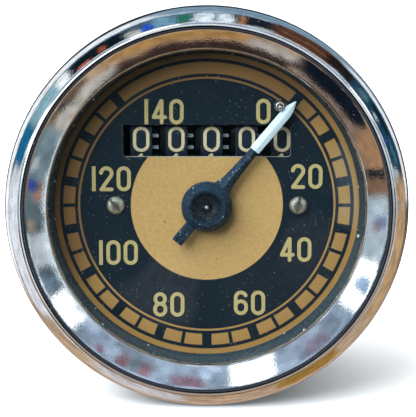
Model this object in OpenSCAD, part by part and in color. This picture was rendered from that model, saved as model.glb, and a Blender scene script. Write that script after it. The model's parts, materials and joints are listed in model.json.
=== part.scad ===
// Vintage magnetic speedometer with a mileage counter, in a barrel case for a panel hole.
// Millimetres. The dial faces -Y, twelve o'clock is +Z, and the origin is the centre of the
// plane where the back of the bezel sits on the panel.
// Inside the modules the dial lies flat: x to the right, y to twelve o'clock, z out to the driver.

/* [Case] */
// Outside diameter of the barrel
case_d = 60; // [60:0.5:64]
// Sheet thickness of the case
case_wall = 0.8; // [0.6:0.1:1.0]
// Depth of the case behind the panel
case_depth = 42; // [41:0.5:48]
// Width of the flange ring that the bezel is rolled over
case_flange = 2.4; // [2:0.1:2.6]
// Rounding of the rear corner
case_corner_r = 4; // [2:0.5:5]

/* [Bezel] */
// How far the bezel stands out past the barrel, on each side
bezel_overhang = 3.5; // [3.3:0.1:4.5]
// Height of the ridge above the panel
bezel_h = 7.6; // [7.2:0.1:8.4]
// Height of the straight skirt
bezel_skirt_h = 3.9; // [3.4:0.1:4.4]
// Width of the rounded outer band, seen from the front
bezel_band_w = 3.1; // [2.8:0.1:3.4]
// Width of the cone that runs in to the glass, seen from the front
bezel_cone_w = 4.1; // [3.8:0.1:4.4]
// Sheet thickness of the bezel
bezel_sheet = 0.6; // [0.5:0.1:0.8]

/* [Glass and dial] */
// Thickness of the glass
glass_t = 1.8; // [1.4:0.1:2.2]
// Rise of the dome at its middle
glass_rise = 2.2; // [1.8:0.1:2.6]
// Thickness of the sealing ring under the glass
gasket_t = 0.6; // [0.4:0.1:0.9]
// Height of the black ring between dial and glass
dial_ring_h = 2.6; // [2.4:0.1:3.0]
// Thickness of the dial plate
dial_t = 0.8; // [0.6:0.1:1.0]
// Width of the counter window
window_w = 27.9; // [26:0.1:28.5]
// Height of the counter window
window_h = 5.4; // [4.8:0.1:6]
// Distance between the two dial screws
dial_screw_span = 30.6; // [30:0.1:31.4]
// Diameter of a dial screw's head
dial_screw_head_d = 3.1; // [2.6:0.1:3.4]
// Distance of the zero stop pin from the spindle
stop_pin_at = 20.6; // [19.5:0.1:21]
// Diameter of the zero stop pin
stop_pin_d = 1.15; // [0.9:0.05:1.3]

/* [Pointer] */
// Length from the spindle to the tip
pointer_reach = 22.9; // [21:0.1:24]
// Length of the tail from the spindle
pointer_tail = 7.8; // [6.5:0.1:9]
// Width of the white blade
pointer_w = 1.75; // [1.4:0.05:2.2]
// Thickness of the blade along its ridge
pointer_t = 0.9; // [0.6:0.1:1.1]
// Diameter of the dished hub
hub_d = 8.5; // [7.5:0.1:9.5]
// Height of the hub's rim above the blade's underside
hub_h = 1.9; // [1.6:0.1:2.1]
// Gap between dial and pointer
pointer_lift = 1.3; // [1.1:0.1:1.4]
// Clock angle of the zero mark, from twelve o'clock
zero_angle = 40; // [36:1:44]
// Diameter of the pointer spindle
spindle_d = 1.5; // [1.2:0.1:1.7]

/* [Mileage counter] */
// Diameter of a number wheel
drum_d = 14.6; // [13.8:0.1:14.8]
// Width of a number wheel's rim
drum_w = 3.6; // [3.4:0.05:3.8]
// Distance from one number wheel to the next
drum_pitch = 5.88; // [5.7:0.02:5.96]
// Height of the counter's axis above the spindle
drum_y = 10.9; // [10.8:0.05:11.4]
// Sideways place of the middle number wheel
drum_x = 0.8; // [0.4:0.1:1.0]
// Diameter of the shafts that carry number wheels and pinions
odo_shaft_d = 2; // [1.6:0.1:2.4]

/* [Magnet and speed cup] */
// Diameter of the magnet
magnet_d = 21; // [18:0.5:22]
// Thickness of the magnet
magnet_t = 4.8; // [4:0.1:5.4]
// Air gap on each side of the speed cup's skirt
cup_gap = 0.6; // [0.4:0.1:0.7]
// Sheet thickness of the speed cup
cup_wall = 0.4; // [0.3:0.05:0.5]
// Sheet thickness of the steel field cup
field_wall = 1; // [0.8:0.1:1.2]

/* [Cable connection] */
// Diameter of the drive shaft
drive_shaft_d = 5; // [4.4:0.1:5.2]
// Side of the square socket for the cable's inner end
drive_square = 2.7; // [2.2:0.1:2.8]
// Nominal diameter of the neck's outer thread
neck_thread_d = 12; // [11:0.5:14]
// Length of the neck behind the case
neck_len = 14; // [12:0.5:18]
// Bore that takes the cable's ferrule
ferrule_bore_d = 8.4; // [7.4:0.1:8.8]
// Depth of the ferrule bore
ferrule_depth = 6; // [4:0.5:7]

/* [Mounting studs and lamp] */
// Diameter of the mounting studs
stud_d = 4; // [3:0.5:5]
// Length of the mounting studs behind the case
stud_len = 14; // [10:0.5:18]
// Distance between the two mounting studs
stud_span = 36; // [34:0.5:38]
// Diameter of the lamp holder's sleeve
lamp_d = 11; // [10:0.1:11.6]
// Distance of the lamp from the spindle
lamp_at = 19.5; // [19.2:0.1:20]

/* [Hidden] */
$fn = 64;

// Running and seating clearances
run = 0.05;
seat = 0.02;
part_gap = 0.3;

// Stack along the axis, from the panel plane forward to the glass and back to the dial
flange_z0 = bezel_sheet;
flange_z1 = flange_z0 + case_wall;
glass_z0 = flange_z1 + gasket_t;
glass_z1 = glass_z0 + glass_t;
lip_z = glass_z1 + seat + bezel_sheet;
dial_z1 = glass_z0 - dial_ring_h;
dial_z0 = dial_z1 - dial_t;

// Radii of the shell, from the outside in
case_r = case_d / 2;
case_bore_r = case_r - case_wall;
flange_r = case_r + case_flange;
mouth_r = case_r - 0.4 * case_wall;
bezel_r = case_r + bezel_overhang;
ridge_r = bezel_r - bezel_band_w;
crease_w = 0.3;
cone_r = ridge_r - crease_w;
lip_r = cone_r - bezel_cone_w + crease_w;
hem_r = case_r + 1;
glass_r = flange_r - 1.2;
dome_r = lip_r - part_gap;
dial_r = case_bore_r - 0.4;
ring_foot_r = lip_r - 0.5;
ring_top_r = lip_r - 0.1;

// Pointer and spindle
pointer_z = dial_z1 + pointer_lift;
hub_r = hub_d / 2;
spindle_r = spindle_d / 2;
spindle_tip_r = 0.4;
dish_floor_t = 0.8;
stop_swing = asin((pointer_w / 2 + stop_pin_d / 2 + run) / stop_pin_at);
stop_angle = zero_angle - stop_swing;
stop_pin_h = pointer_lift + pointer_t + 0.6;
stop_base_d = stop_pin_d + 0.7;
stop_base_h = 0.7;

// Mileage counter: number wheels are counted from the right, units first
drum_count = 5;
drum_r = drum_d / 2;
drum_z = dial_z0 - 0.5 - drum_r;
odo_shaft_r = odo_shaft_d / 2;
gear_module = 0.6;
drum_teeth = 20;
pinion_teeth = 8;
drum_gear_r = gear_module * drum_teeth / 2;
pinion_r = gear_module * pinion_teeth / 2;
drum_gear_w = 1.05;
drum_gap = drum_pitch - drum_w - drum_gear_w;
lock_ring_r = drum_gear_r + 0.2;
pinion_side = 40;
pinion_reach = drum_gear_r + pinion_r;
pinion_y = drum_y + pinion_reach * sin(pinion_side);
pinion_z = drum_z - pinion_reach * cos(pinion_side);
drum_hub_r = odo_shaft_r + 1.2;

// Worm gearing from the drive shaft to the units wheel
worm_module = 0.5;
worm_pitch = PI * worm_module;
worm_addendum = 0.4;
worm_dedendum = 0.55;
tooth_share = 0.38;
flank_slope = tan(20);
wheel_w = 1.6;
cross_teeth = 18;
lay_teeth = 34;
counter_teeth = 24;
cross_wheel_r = worm_module * cross_teeth / 2;
lay_wheel_r = worm_module * lay_teeth / 2;
counter_wheel_r = worm_module * counter_teeth / 2;
drive_shaft_r = drive_shaft_d / 2;
drive_worm_r = drive_shaft_r + 1.1;
lay_worm_r = 2;
layshaft_r = 0.8;
lay_worm_tip_r = lay_worm_r + worm_addendum;
counter_wheel_x = drum_x + 2 * drum_pitch + drum_w / 2 + part_gap + lay_worm_tip_r;
lay_x = counter_wheel_x;
lay_y = drum_y - counter_wheel_r - lay_worm_r;
cross_y = -(drive_worm_r + cross_wheel_r);
cross_worm_r = lay_y - cross_y - lay_wheel_r;
cross_worm_len = 4;
lay_worm_len = 5.2;

// Places along the axis, from the dial backwards
counter_back = drum_r - drum_z;
cross_tip_r = cross_wheel_r + worm_addendum;
base_t = 2.5;
solid_stack = 2 * cross_tip_r + field_wall + cup_wall + magnet_t + base_t;
// What is left of the case's depth is shared out as gaps and as the height of the frame's feet
depth_spare = case_depth - case_wall - counter_back - solid_stack;
cup_clear = depth_spare * 14 / 62;
magnet_gap = depth_spare * 8 / 62;
wheel_clear = depth_spare * 7 / 62;
foot_h = depth_spare - cup_clear - magnet_gap - 2 * wheel_clear;
cup_z1 = -counter_back - cup_clear;
cup_z0 = cup_z1 - cup_wall;
collet_h = 2.2;
spring_z0 = cup_z1 + 1.2;
spring_h = 0.6;
cock_z0 = cup_z1 + 3.2;
cock_t = 1.5;
cock_z1 = cock_z0 + cock_t;
magnet_z1 = cup_z0 - magnet_gap;
magnet_z0 = magnet_z1 - magnet_t;
field_z0 = magnet_z0 - field_wall;
cross_z = field_z0 - wheel_clear - cross_tip_r;
base_z1 = cross_z - cross_tip_r - wheel_clear;
base_z0 = base_z1 - base_t;
back_z0 = -case_depth;
back_z1 = back_z0 + case_wall;
neck_z0 = back_z0 - neck_len;
drive_z0 = neck_z0 + ferrule_depth;

// Magnet, cups and the shaft step that carries them
magnet_r = magnet_d / 2;
cup_r = magnet_r + cup_gap + cup_wall;
field_r = cup_r + cup_gap + field_wall;
carrier_r = 1.5;
pivot_r = 0.45;
pivot_len = 1.2;

// Frame
arm_in = counter_wheel_x + lay_worm_tip_r + part_gap;
arm_t = 2.4;
arm_out = arm_in + arm_t;
arm_top = pinion_y + odo_shaft_r + 1.1;
arm_foot = cross_y - layshaft_r - 1.9;
lamp_arm_foot = -6;
lug_t = 3.4;
dial_screw_x = dial_screw_span / 2;
dial_screw_r = 1;
post_y = -(field_r + 5.9);
post_r = 3.4;
frame_screw_r = 1.25;
frame_screw_x = 13;
frame_screw_y = 13;
frame_screws_at = [[-frame_screw_x, frame_screw_y], [frame_screw_x, frame_screw_y], [0, post_y]];
boss_r = 3;
frame_screw_grip = foot_h + base_t - 0.7;
neck_seat_r = 5;
neck_spigot = 0.6 * foot_h;
stud_head_t = 0.45 * foot_h;
stud_rivet_r = stud_d / 2 + 0.3;
bush_wall = 1.3;
lamp_angle = 225;
lamp_r = lamp_d / 2;
lamp_x = lamp_at * cos(lamp_angle);
lamp_y = lamp_at * sin(lamp_angle);

// Hairspring: an Archimedean spiral of flat strip
spring_turn_count = 5;
spring_strip = 0.15;
spring_in_r = 1.4 + spring_strip;
spring_out_r = 6.6;
spring_step_count = 20;

// Points of a circular arc, from angle a0 to a1 in n steps
function arc(cx, cy, r, a0, a1, n) =
    [for (i = [0 : n]) let (a = a0 + (a1 - a0) * i / n) [cx + r * cos(a), cy + r * sin(a)]];

// Points of a quadratic curve from p to q, pulled towards c
function bow(p, c, q, n) =
    [for (i = [0 : n]) let (t = i / n) (1 - t) * (1 - t) * p + 2 * t * (1 - t) * c + t * t * q];

// Straight-flanked gear outline, with one tooth on the +x axis
function gear_outline(teeth, root_r, tip_r, root_half, tip_half) =
    [for (i = [0 : teeth - 1], p = [[root_r, -root_half], [tip_r, -tip_half], [tip_r, tip_half], [root_r, root_half]])
        let (a = 360 * i / teeth + asin(p[1] / p[0])) [p[0] * cos(a), p[0] * sin(a)]];

// The speedometer stands upright with its dial to the front
module upright() rotate([90, 0, 0]) children();

module at_dial_screws() for (side = [-1, 1]) translate([side * dial_screw_x, 0]) children();
module at_studs() for (side = [-1, 1]) translate([side * stud_span / 2, 0]) children();
module at_frame_screws() for (at = frame_screws_at) translate(at) children();

// A cylinder from z0 to z1
module rod(r, z0, z1) translate([0, 0, z0]) cylinder(r = r, h = z1 - z0);

// A rod along x, from x0 to x1, at height y and depth z
module cross_rod(r, x0, x1, y, z) translate([0, y, z]) rotate([0, 90, 0]) rod(r, x0, x1);

// A screw with a slotted head: the head's underside is at z = 0 and the shank runs to -z
module slotted_screw(head_r, head_h, shank_r, shank_len, slot_w) {
    difference() {
        union() {
            rod(head_r, 0, head_h);
            rod(shank_r, -shank_len, 0);
        }
        translate([-head_r - 1, -slot_w / 2, head_h * 0.5]) cube([2 * head_r + 2, slot_w, head_h]);
    }
}

// Shell of the case: a deep-drawn cup, turned down at its mouth for the flange ring
module case() {
    inner_corner_r = case_corner_r - case_wall;
    color("#1c1d1f") difference() {
        rotate_extrude() polygon(concat(
            [[0, back_z0]],
            arc(case_r - case_corner_r, back_z0 + case_corner_r, case_corner_r, -90, 0, 8),
            [[case_r, flange_z0], [mouth_r, flange_z0], [mouth_r, flange_z1], [case_bore_r, flange_z1]],
            arc(case_r - case_corner_r, back_z0 + case_corner_r, inner_corner_r, 0, -90, 8),
            [[0, back_z1]]
        ));
        rod(neck_seat_r + seat, back_z0 - 1, back_z1 + 1);
        at_frame_screws() rod(frame_screw_r + 0.2, back_z0 - 1, back_z1 + 1);
        at_studs() rod(stud_rivet_r, back_z0 - 1, back_z1 + 1);
        translate([lamp_x, lamp_y]) rod(lamp_r + seat, back_z0 - 1, back_z1 + 1);
    }
}

// Steel ring fixed round the mouth of the case, which the bezel is rolled over
module flange_ring() {
    color("#8d9094") difference() {
        rod(flange_r, flange_z0, flange_z1);
        rod(mouth_r, flange_z0 - 1, flange_z1 + 1);
    }
}

// Bezel: one pressed sheet, from the hem behind the flange over the band and down the cone
module bezel() {
    s = bezel_sheet;
    hem_corner = 0.9;
    band_out = bow([bezel_r, bezel_skirt_h], [bezel_r - 0.5, bezel_h - 1.1], [ridge_r, bezel_h], 10);
    band_in = bow([ridge_r, bezel_h - s - 0.25], [bezel_r - 0.5 - s, bezel_h - 1.1 - s], [bezel_r - s, bezel_skirt_h], 10);
    crease_depth = 0.3;
    color("#d8dade") rotate_extrude($fn = 128) polygon(concat(
        [[hem_r, 0]],
        arc(bezel_r - hem_corner, hem_corner, hem_corner, -90, 0, 6),
        band_out,
        [[ridge_r - crease_w / 2, bezel_h - crease_depth], [cone_r, bezel_h - 0.1]],
        bow([cone_r, bezel_h - 0.1], [(cone_r + lip_r) / 2, (bezel_h + lip_z) / 2 - 0.25], [lip_r, lip_z], 6),
        [[lip_r, lip_z - s]],
        [[cone_r - s / 2, bezel_h - s - 0.4]],
        band_in,
        [[bezel_r - s, s], [hem_r, s]]
    ));
}

// Glass: a flat rim under the bezel's lip and a shallow dome inside it
module glass() {
    dome_sphere_r = (dome_r * dome_r + glass_rise * glass_rise) / (2 * glass_rise);
    dome_half = asin(dome_r / dome_sphere_r);
    front_c = glass_z1 + glass_rise - dome_sphere_r;
    back_c = glass_z0 + glass_rise - dome_sphere_r;
    color("#cfe3ea", 0.35) rotate_extrude($fn = 128) polygon(concat(
        arc(0, back_c, dome_sphere_r, 90, 90 - dome_half, 14),
        [[glass_r, glass_z0], [glass_r, glass_z1]],
        arc(0, front_c, dome_sphere_r, 90 - dome_half, 90, 14)
    ));
}

// Sealing ring between the flange and the glass
module glass_gasket() {
    color("#151515") difference() {
        rod(glass_r + 0.2, flange_z1, glass_z0);
        rod(case_bore_r + 0.4, flange_z1 - 1, glass_z0 + 1);
    }
}

// Black ring that stands on the dial's edge and carries the glass
module dial_ring() {
    ring_out_r = case_bore_r - 0.2;
    color("#101214") rotate_extrude($fn = 128) polygon([
        [ring_foot_r, dial_z1], [ring_out_r, dial_z1], [ring_out_r, glass_z0],
        [ring_top_r, glass_z0], [ring_foot_r, dial_z1 + 0.7]
    ]);
}

// Dial plate with the counter window and the holes for spindle, screws and stop pin
module dial_plate() {
    corner_r = 0.4;
    spindle_hole_r = spindle_r + 0.9;
    color("#b8925a") difference() {
        rod(dial_r, dial_z0, dial_z1);
        translate([0, drum_y - 0.06, dial_z0 - 1]) linear_extrude(dial_t + 2) union() {
            square([window_w - 2 * corner_r, window_h], center = true);
            square([window_w, window_h - 2 * corner_r], center = true);
            for (sx = [-1, 1], sy = [-1, 1])
                translate([sx * (window_w / 2 - corner_r), sy * (window_h / 2 - corner_r)]) circle(corner_r);
        }
        rod(spindle_hole_r, dial_z0 - 1, dial_z1 + 1);
        at_dial_screws() rod(dial_screw_r + 0.1, dial_z0 - 1, dial_z1 + 1);
        rotate(-stop_angle) translate([0, stop_pin_at]) rod(stop_pin_d / 2, dial_z0 - 1, dial_z1 + 1);
    }
}

// Two slotted screws that hold the dial to the frame's lugs
module dial_screws() {
    slot_turn = [130, 78];
    color("#c9c6bd") for (i = [0, 1]) translate([(2 * i - 1) * dial_screw_x, 0, dial_z1]) rotate(slot_turn[i])
        slotted_screw(dial_screw_head_d / 2, 0.9, dial_screw_r, dial_t + 3, 0.45);
}

// Zero stop: a stepped pin riveted into the dial
module stop_pin() {
    color("#c9c6bd") rotate(-stop_angle) translate([0, stop_pin_at]) {
        rod(stop_pin_d / 2, dial_z0, dial_z1 + stop_pin_h);
        difference() {
            rod(stop_base_d / 2, dial_z1, dial_z1 + stop_base_h);
            rod(stop_pin_d / 2, dial_z1 - 1, dial_z1 + stop_base_h + 1);
        }
    }
}

// Upright cheek of the frame, between two heights, on one side of the movement
module cheek(x, foot) translate([x, foot, base_z0]) cube([arm_t, arm_top - foot, dial_z0 - base_z0]);

// Frame: base plate, two cheeks with dial lugs, bearing blocks and the post for the cock
module movement_frame() {
    right_lug_in = dial_screw_x - 2;
    left_lug_in = dial_screw_x - 2.3;
    lug_top = lay_y + layshaft_r + 0.9;
    block_x0 = -5;
    block_w = 2;
    lay_post_z = cross_z - wheel_w / 2 - part_gap;
    wheel_slot = wheel_w / 2 + 0.5;
    color("#8d9094") difference() {
        intersection() {
            rod(case_bore_r - part_gap, back_z1, dial_z0);
            union() {
                translate([-arm_out, lamp_arm_foot, base_z0]) cube([2 * arm_out, arm_top - lamp_arm_foot, base_t]);
                translate([block_x0, arm_foot, base_z0]) cube([arm_out - block_x0, lamp_arm_foot - arm_foot, base_t]);
                translate([-post_r, post_y, base_z0]) cube([2 * post_r, -post_y, base_t]);
                cheek(arm_in, arm_foot);
                cheek(-arm_out, lamp_arm_foot);
                translate([right_lug_in, -2.6, dial_z0 - lug_t]) cube([arm_in - right_lug_in, lug_top + 2.6, lug_t]);
                translate([-arm_in, -2.6, dial_z0 - lug_t]) cube([arm_in - left_lug_in, 5.2, lug_t]);
                translate([block_x0, arm_foot, base_z0]) cube([block_w, -arm_foot - drive_worm_r - 1.2, cross_z - base_z0 + 2.4]);
                translate([lay_x, lay_y]) rod(layshaft_r + 1.6, base_z0, lay_post_z);
                translate([0, post_y]) rod(post_r, back_z1, cock_z0);
                for (at = [frame_screws_at[0], frame_screws_at[1]]) translate(at) rod(boss_r, back_z1, base_z1);
                rod(neck_seat_r + 2.4, back_z1, base_z1);
            }
        }
        // Bearing seats on the axis
        rod(drive_shaft_r + bush_wall, back_z1 - 1, base_z1 + 1);
        rod(neck_seat_r + seat, back_z1 - 1, back_z1 + neck_spigot);
        // Axles of the counter
        cross_rod(odo_shaft_r, -arm_out - 1, arm_out + 1, drum_y, drum_z);
        cross_rod(odo_shaft_r, -arm_out - 1, arm_out + 1, pinion_y, pinion_z);
        // Bearings of the two worm shafts
        cross_rod(layshaft_r + run, block_x0 - 1, arm_out + 1, cross_y, cross_z);
        translate([lay_x, lay_y]) rod(layshaft_r + run, base_z0 + 0.8, dial_z0 + 1);
        // Slot for the large wheel in the right cheek
        translate([arm_in - 1, lay_y - lay_wheel_r - worm_addendum - 0.3, cross_z - wheel_slot])
            cube([arm_t + 2, 2 * (lay_wheel_r + worm_addendum + 0.3), 2 * wheel_slot]);
        // Screw holes
        at_dial_screws() rod(dial_screw_r, dial_z0 - lug_t - 1, dial_z0 + 1);
        at_frame_screws() rod(frame_screw_r, back_z1 - 1, back_z1 + frame_screw_grip + 0.3);
        translate([0, post_y]) rod(frame_screw_r, cock_z0 - 5, cock_z0 + 1);
    }
}

// Cock that carries the front bearing of the spindle
module spindle_cock() {
    nose_r = 3;
    waist = 4.4;
    color("#8d9094") difference() {
        union() {
            rod(nose_r, cock_z0, cock_z1);
            translate([-waist / 2, post_y, cock_z0]) cube([waist, -post_y, cock_t]);
            translate([0, post_y]) rod(post_r, cock_z0, cock_z1);
        }
        rod(spindle_r + 0.8, cock_z0 - 1, cock_z1 + 1);
        translate([0, post_y]) rod(frame_screw_r + 0.1, cock_z0 - 1, cock_z1 + 1);
        translate([0, -spring_out_r - 0.6]) rod(0.5, cock_z0 - 1, cock_z1 + 1);
    }
}

module cock_screw() {
    color("#c9c6bd") translate([0, post_y, cock_z1]) rotate(25)
        slotted_screw(2.2, 1.3, frame_screw_r, cock_t + 4, 0.5);
}

// Brass bush in the cock
module spindle_bush() {
    flange_t = 0.4;
    color("#c2a14d") difference() {
        union() {
            rod(spindle_r + 0.8, cock_z0, cock_z1);
            rod(spindle_r + 1.2, cock_z1, cock_z1 + flange_t);
        }
        rod(spindle_r + run, cock_z0 - 1, cock_z1 + flange_t + 1);
    }
}

// Hairspring: flat strip wound from the collet out to the stud
module hairspring() {
    steps = spring_turn_count * spring_step_count;
    function spiral(i, side) =
        let (t = i / steps, a = -90 - 360 * spring_turn_count * (1 - t),
             r = spring_in_r + (spring_out_r - spring_in_r) * t + side * spring_strip / 2)
        [r * cos(a), r * sin(a)];
    color("#b9a05a") translate([0, 0, spring_z0]) linear_extrude(spring_h) polygon(concat(
        [for (i = [0 : steps]) spiral(i, -1)],
        [for (i = [steps : -1 : 0]) spiral(i, 1)]
    ));
}

// Stud that holds the outer end of the hairspring under the cock
module hairspring_stud() {
    color("#c2a14d") translate([0, -spring_out_r - 0.6]) rod(0.5, spring_z0, cock_z1);
}

// Threaded neck for the cable's union nut, with a hexagon against the case
module cable_neck() {
    hex_t = 3;
    color("#b5b1a4") difference() {
        union() {
            translate([0, 0, back_z0 - hex_t]) cylinder(d = neck_thread_d + 6, h = hex_t, $fn = 6);
            rod(neck_thread_d / 2, neck_z0, back_z0 - hex_t);
            rod(neck_seat_r, back_z0 - hex_t, back_z1 + neck_spigot);
        }
        rod(ferrule_bore_d / 2, neck_z0 - 1, drive_z0);
        rod(drive_shaft_r + run, drive_z0 - 1, back_z1 + neck_spigot + 1);
    }
}

// Flanged bronze bush in the base of the frame
module drive_bush() {
    flange_t = 0.8;
    color("#a87f3c") difference() {
        union() {
            rod(drive_shaft_r + bush_wall, back_z1 + neck_spigot, base_z1);
            rod(drive_shaft_r + bush_wall + 1, base_z1, base_z1 + flange_t);
        }
        rod(drive_shaft_r + run, back_z1, base_z1 + flange_t + 1);
    }
}

// Two studs riveted through the case back, for a clamping strap
module mounting_studs() {
    color("#b5b1a4") at_studs() {
        rod(stud_d / 2, back_z0 - stud_len, back_z0);
        rod(stud_rivet_r, back_z0, back_z1);
        rod(stud_d / 2 + 1.4, back_z1, back_z1 + stud_head_t);
    }
}

// Screws from behind, through the case back into the frame
module frame_screws() {
    color("#c9c6bd") at_frame_screws() translate([0, 0, back_z0]) rotate([180, 0, 30])
        slotted_screw(2.4, 1.4, frame_screw_r, case_wall + frame_screw_grip, 0.6);
}

// Push-in lamp holder with its contact tab
module lamp_holder() {
    sleeve_wall = 0.6;
    lip_w = 1.4;
    rear_len = 9;
    tab = [3, 0.6, 5];
    color("#b5b1a4") translate([lamp_x, lamp_y]) {
        difference() {
            union() {
                rod(lamp_r, back_z0 - rear_len, back_z1 + 4);
                rod(lamp_r + lip_w, back_z0 - 0.8, back_z0);
            }
            rod(lamp_r - sleeve_wall, back_z0 - rear_len + 2, back_z1 + 5);
        }
        translate([-tab[0] / 2, -tab[1] / 2, back_z0 - rear_len - tab[2]]) cube(tab);
    }
}

// Small bayonet lamp: metal cap and glass envelope
module lamp_bulb() {
    cap_r = lamp_r - 0.6 - run;
    bulb_r = cap_r - 0.6;
    cap_z0 = back_z0 - 7;
    cap_z1 = back_z1 + 3;
    bulb_z1 = cap_z1 + 7;
    color("#d9d2b8") translate([lamp_x, lamp_y]) rotate_extrude() polygon(concat(
        [[0, cap_z0], [cap_r, cap_z0], [cap_r, cap_z1], [bulb_r, cap_z1 + 0.6]],
        arc(0, bulb_z1, bulb_r, 0, 90, 8)
    ));
}

module counter_axle() color("#b5b1a4") cross_rod(odo_shaft_r, -arm_out, arm_out, drum_y, drum_z);

module pinion_axle() color("#b5b1a4") cross_rod(odo_shaft_r, -arm_out, arm_out, pinion_y, pinion_z);

// Left edge of the number wheel i, and of its rim
function drum_left(i) = drum_x + (3 - i) * drum_pitch - drum_w / 2;

// Sleeve between the left cheek and the last number wheel
module axle_spacer() {
    x0 = -arm_in;
    x1 = drum_left(drum_count) - drum_gap;
    color("#c2a14d") difference() {
        cross_rod(drum_hub_r, x0, x1, drum_y, drum_z);
        cross_rod(odo_shaft_r + seat, x0 - 1, x1 + 1, drum_y, drum_z);
    }
}

// Pointer: ridged blade, square tail and dished hub in one moulding, at the zero mark
module pointer() {
    edge_t = 0.35;
    blade_root = hub_r - 0.8;
    neck_at = hub_r + 1.6;
    white_at = 12.3;
    taper_at = pointer_reach - 3;
    rim_r = hub_r - 1.35;
    // Each station: distance from the spindle, half width, ridge height
    stations = [
        [blade_root, 1.75, pointer_t], [neck_at, 1.1, pointer_t], [white_at, pointer_w / 2 - 0.12, pointer_t],
        [white_at + 0.4, pointer_w / 2, pointer_t], [taper_at, pointer_w / 2, pointer_t], [pointer_reach, 0.12, edge_t + 0.1]
    ];
    section = [for (s = stations)
        [[-s[1], s[0], 0], [s[1], s[0], 0], [s[1], s[0], edge_t], [0, s[0], s[2]], [-s[1], s[0], edge_t]]];
    corners = 5;
    last = len(stations) - 1;
    skin = [for (i = [0 : last - 1], k = [0 : corners - 1])
        let (a = i * corners + k, b = i * corners + (k + 1) % corners) each [[a, b, b + corners], [a, b + corners, a + corners]]];
    caps = [[for (k = [corners - 1 : -1 : 0]) k], [for (k = [0 : corners - 1]) last * corners + k]];
    color("#23262b") rotate(-zero_angle) translate([0, 0, pointer_z]) difference() {
        union() {
            polyhedron(points = [for (s = section, p = s) p], faces = concat(skin, caps));
            translate([-0.95, -pointer_tail, 0]) cube([1.9, pointer_tail, pointer_t]);
            rotate_extrude() polygon(concat(
                [[0, 0], [hub_r, 0], [hub_r, 0.7], [rim_r + 0.2, hub_h]],
                bow([rim_r - 0.3, hub_h], [1.4, dish_floor_t], [0.9, dish_floor_t], 6),
                [[0, dish_floor_t]]
            ));
        }
        translate([0, 0, -1]) cylinder(r = spindle_tip_r, h = hub_h + 2);
    }
}

// Spindle: rear pivot, body through cock and dial, thin front end for the pointer
module spindle() {
    pivot_z0 = magnet_z1 - pivot_len + part_gap;
    body_z1 = pointer_z;
    color("#d0d2d4") {
        rod(pivot_r - run, pivot_z0, cup_z0);
        rod(spindle_r, cup_z0, body_z1);
        rod(spindle_tip_r, body_z1, pointer_z + dish_floor_t + 0.3);
    }
}

// Speed cup: a thin drum that the turning magnet drags along
module speed_cup() {
    color("#c4c8cc") difference() {
        rod(cup_r, magnet_z0 + cup_gap, cup_z1);
        rod(cup_r - cup_wall, magnet_z0 - 1, cup_z0);
        rod(spindle_r, cup_z0 - 1, cup_z1 + 1);
    }
}

// Brass collet on the spindle, which grips the inner end of the hairspring
module hairspring_collet() {
    color("#c2a14d") difference() {
        rod(spring_in_r - spring_strip / 2 - run, cup_z1, cup_z1 + collet_h);
        rod(spindle_r, cup_z1 - 1, cup_z1 + collet_h + 1);
    }
}

// Drive shaft: square socket at the back, step for the magnet and a pivot hole at the front
module drive_shaft() {
    socket_depth = 10;
    color("#b9bdc2") difference() {
        union() {
            rod(drive_shaft_r, drive_z0, field_z0);
            rod(carrier_r, field_z0, magnet_z1);
        }
        translate([-drive_square / 2, -drive_square / 2, drive_z0 - 1]) cube([drive_square, drive_square, socket_depth + 1]);
        rod(pivot_r, magnet_z1 - pivot_len, magnet_z1 + 1);
    }
}

// A right-hand worm of one start along z, with a crest at clock angle crest_at at height z = 0
module worm(pitch_r, z0, z1, bore_r, crest_at) {
    tip_r = pitch_r + worm_addendum;
    root_r = pitch_r - worm_dedendum;
    half = tooth_share * worm_pitch / 2;
    crest_deg = 360 * (half - worm_addendum * flank_slope) / worm_pitch;
    foot_deg = 360 * (half + worm_dedendum * flank_slope) / worm_pitch;
    turns = (z1 - z0) / worm_pitch;
    outline = concat(arc(0, 0, tip_r, -crest_deg, crest_deg, 3), arc(0, 0, root_r, foot_deg, 360 - foot_deg, 7));
    difference() {
        translate([0, 0, z0]) rotate(crest_at + 360 * z0 / worm_pitch)
            linear_extrude(z1 - z0, twist = -360 * turns, slices = ceil(12 * turns), segments = 0) polygon(outline);
        rod(bore_r, z0 - 1, z1 + 1);
    }
}

// A thin worm wheel in the plane z = 0, with a tooth on the +x axis
module worm_wheel(teeth, bore_r) {
    r = worm_module * teeth / 2;
    half = tooth_share * worm_pitch / 2;
    difference() {
        translate([0, 0, -wheel_w / 2]) linear_extrude(wheel_w) polygon(gear_outline(
            teeth, r - worm_dedendum, r + worm_addendum,
            half + worm_dedendum * flank_slope, half - worm_addendum * flank_slope));
        rod(bore_r, -wheel_w, wheel_w);
    }
}

module drive_worm() {
    half_len = 3.6;
    color("#b9bdc2") translate([0, 0, cross_z]) worm(drive_worm_r, -half_len, half_len, drive_shaft_r, 90);
}

// Magnet: a thick disc pressed on the shaft's front step
module magnet() {
    color("#55585c") difference() {
        rod(magnet_r, magnet_z0, magnet_z1);
        rod(carrier_r, magnet_z0 - 1, magnet_z1 + 1);
    }
}

// Field cup: steel cup that closes the magnet's field outside the speed cup
module field_cup() {
    color("#9aa0a6") difference() {
        rod(field_r, field_z0, cup_z0);
        rod(field_r - field_wall, magnet_z0, cup_z0 + 1);
        rod(carrier_r, field_z0 - 1, magnet_z0 + 1);
    }
}

// Washer between the bush and the worm
module thrust_washer() {
    z0 = base_z1 + 0.8 + run;
    z1 = cross_z - 3.6;
    color("#c9c6bd") difference() {
        rod(drive_shaft_r + 1, z0, z1);
        rod(drive_shaft_r, z0 - 1, z1 + 1);
    }
}

// First cross shaft: wheel under the drive worm, second worm at its right end
module cross_shaft() {
    color("#b9bdc2") cross_rod(layshaft_r, -5, arm_out, cross_y, cross_z);
}

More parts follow.
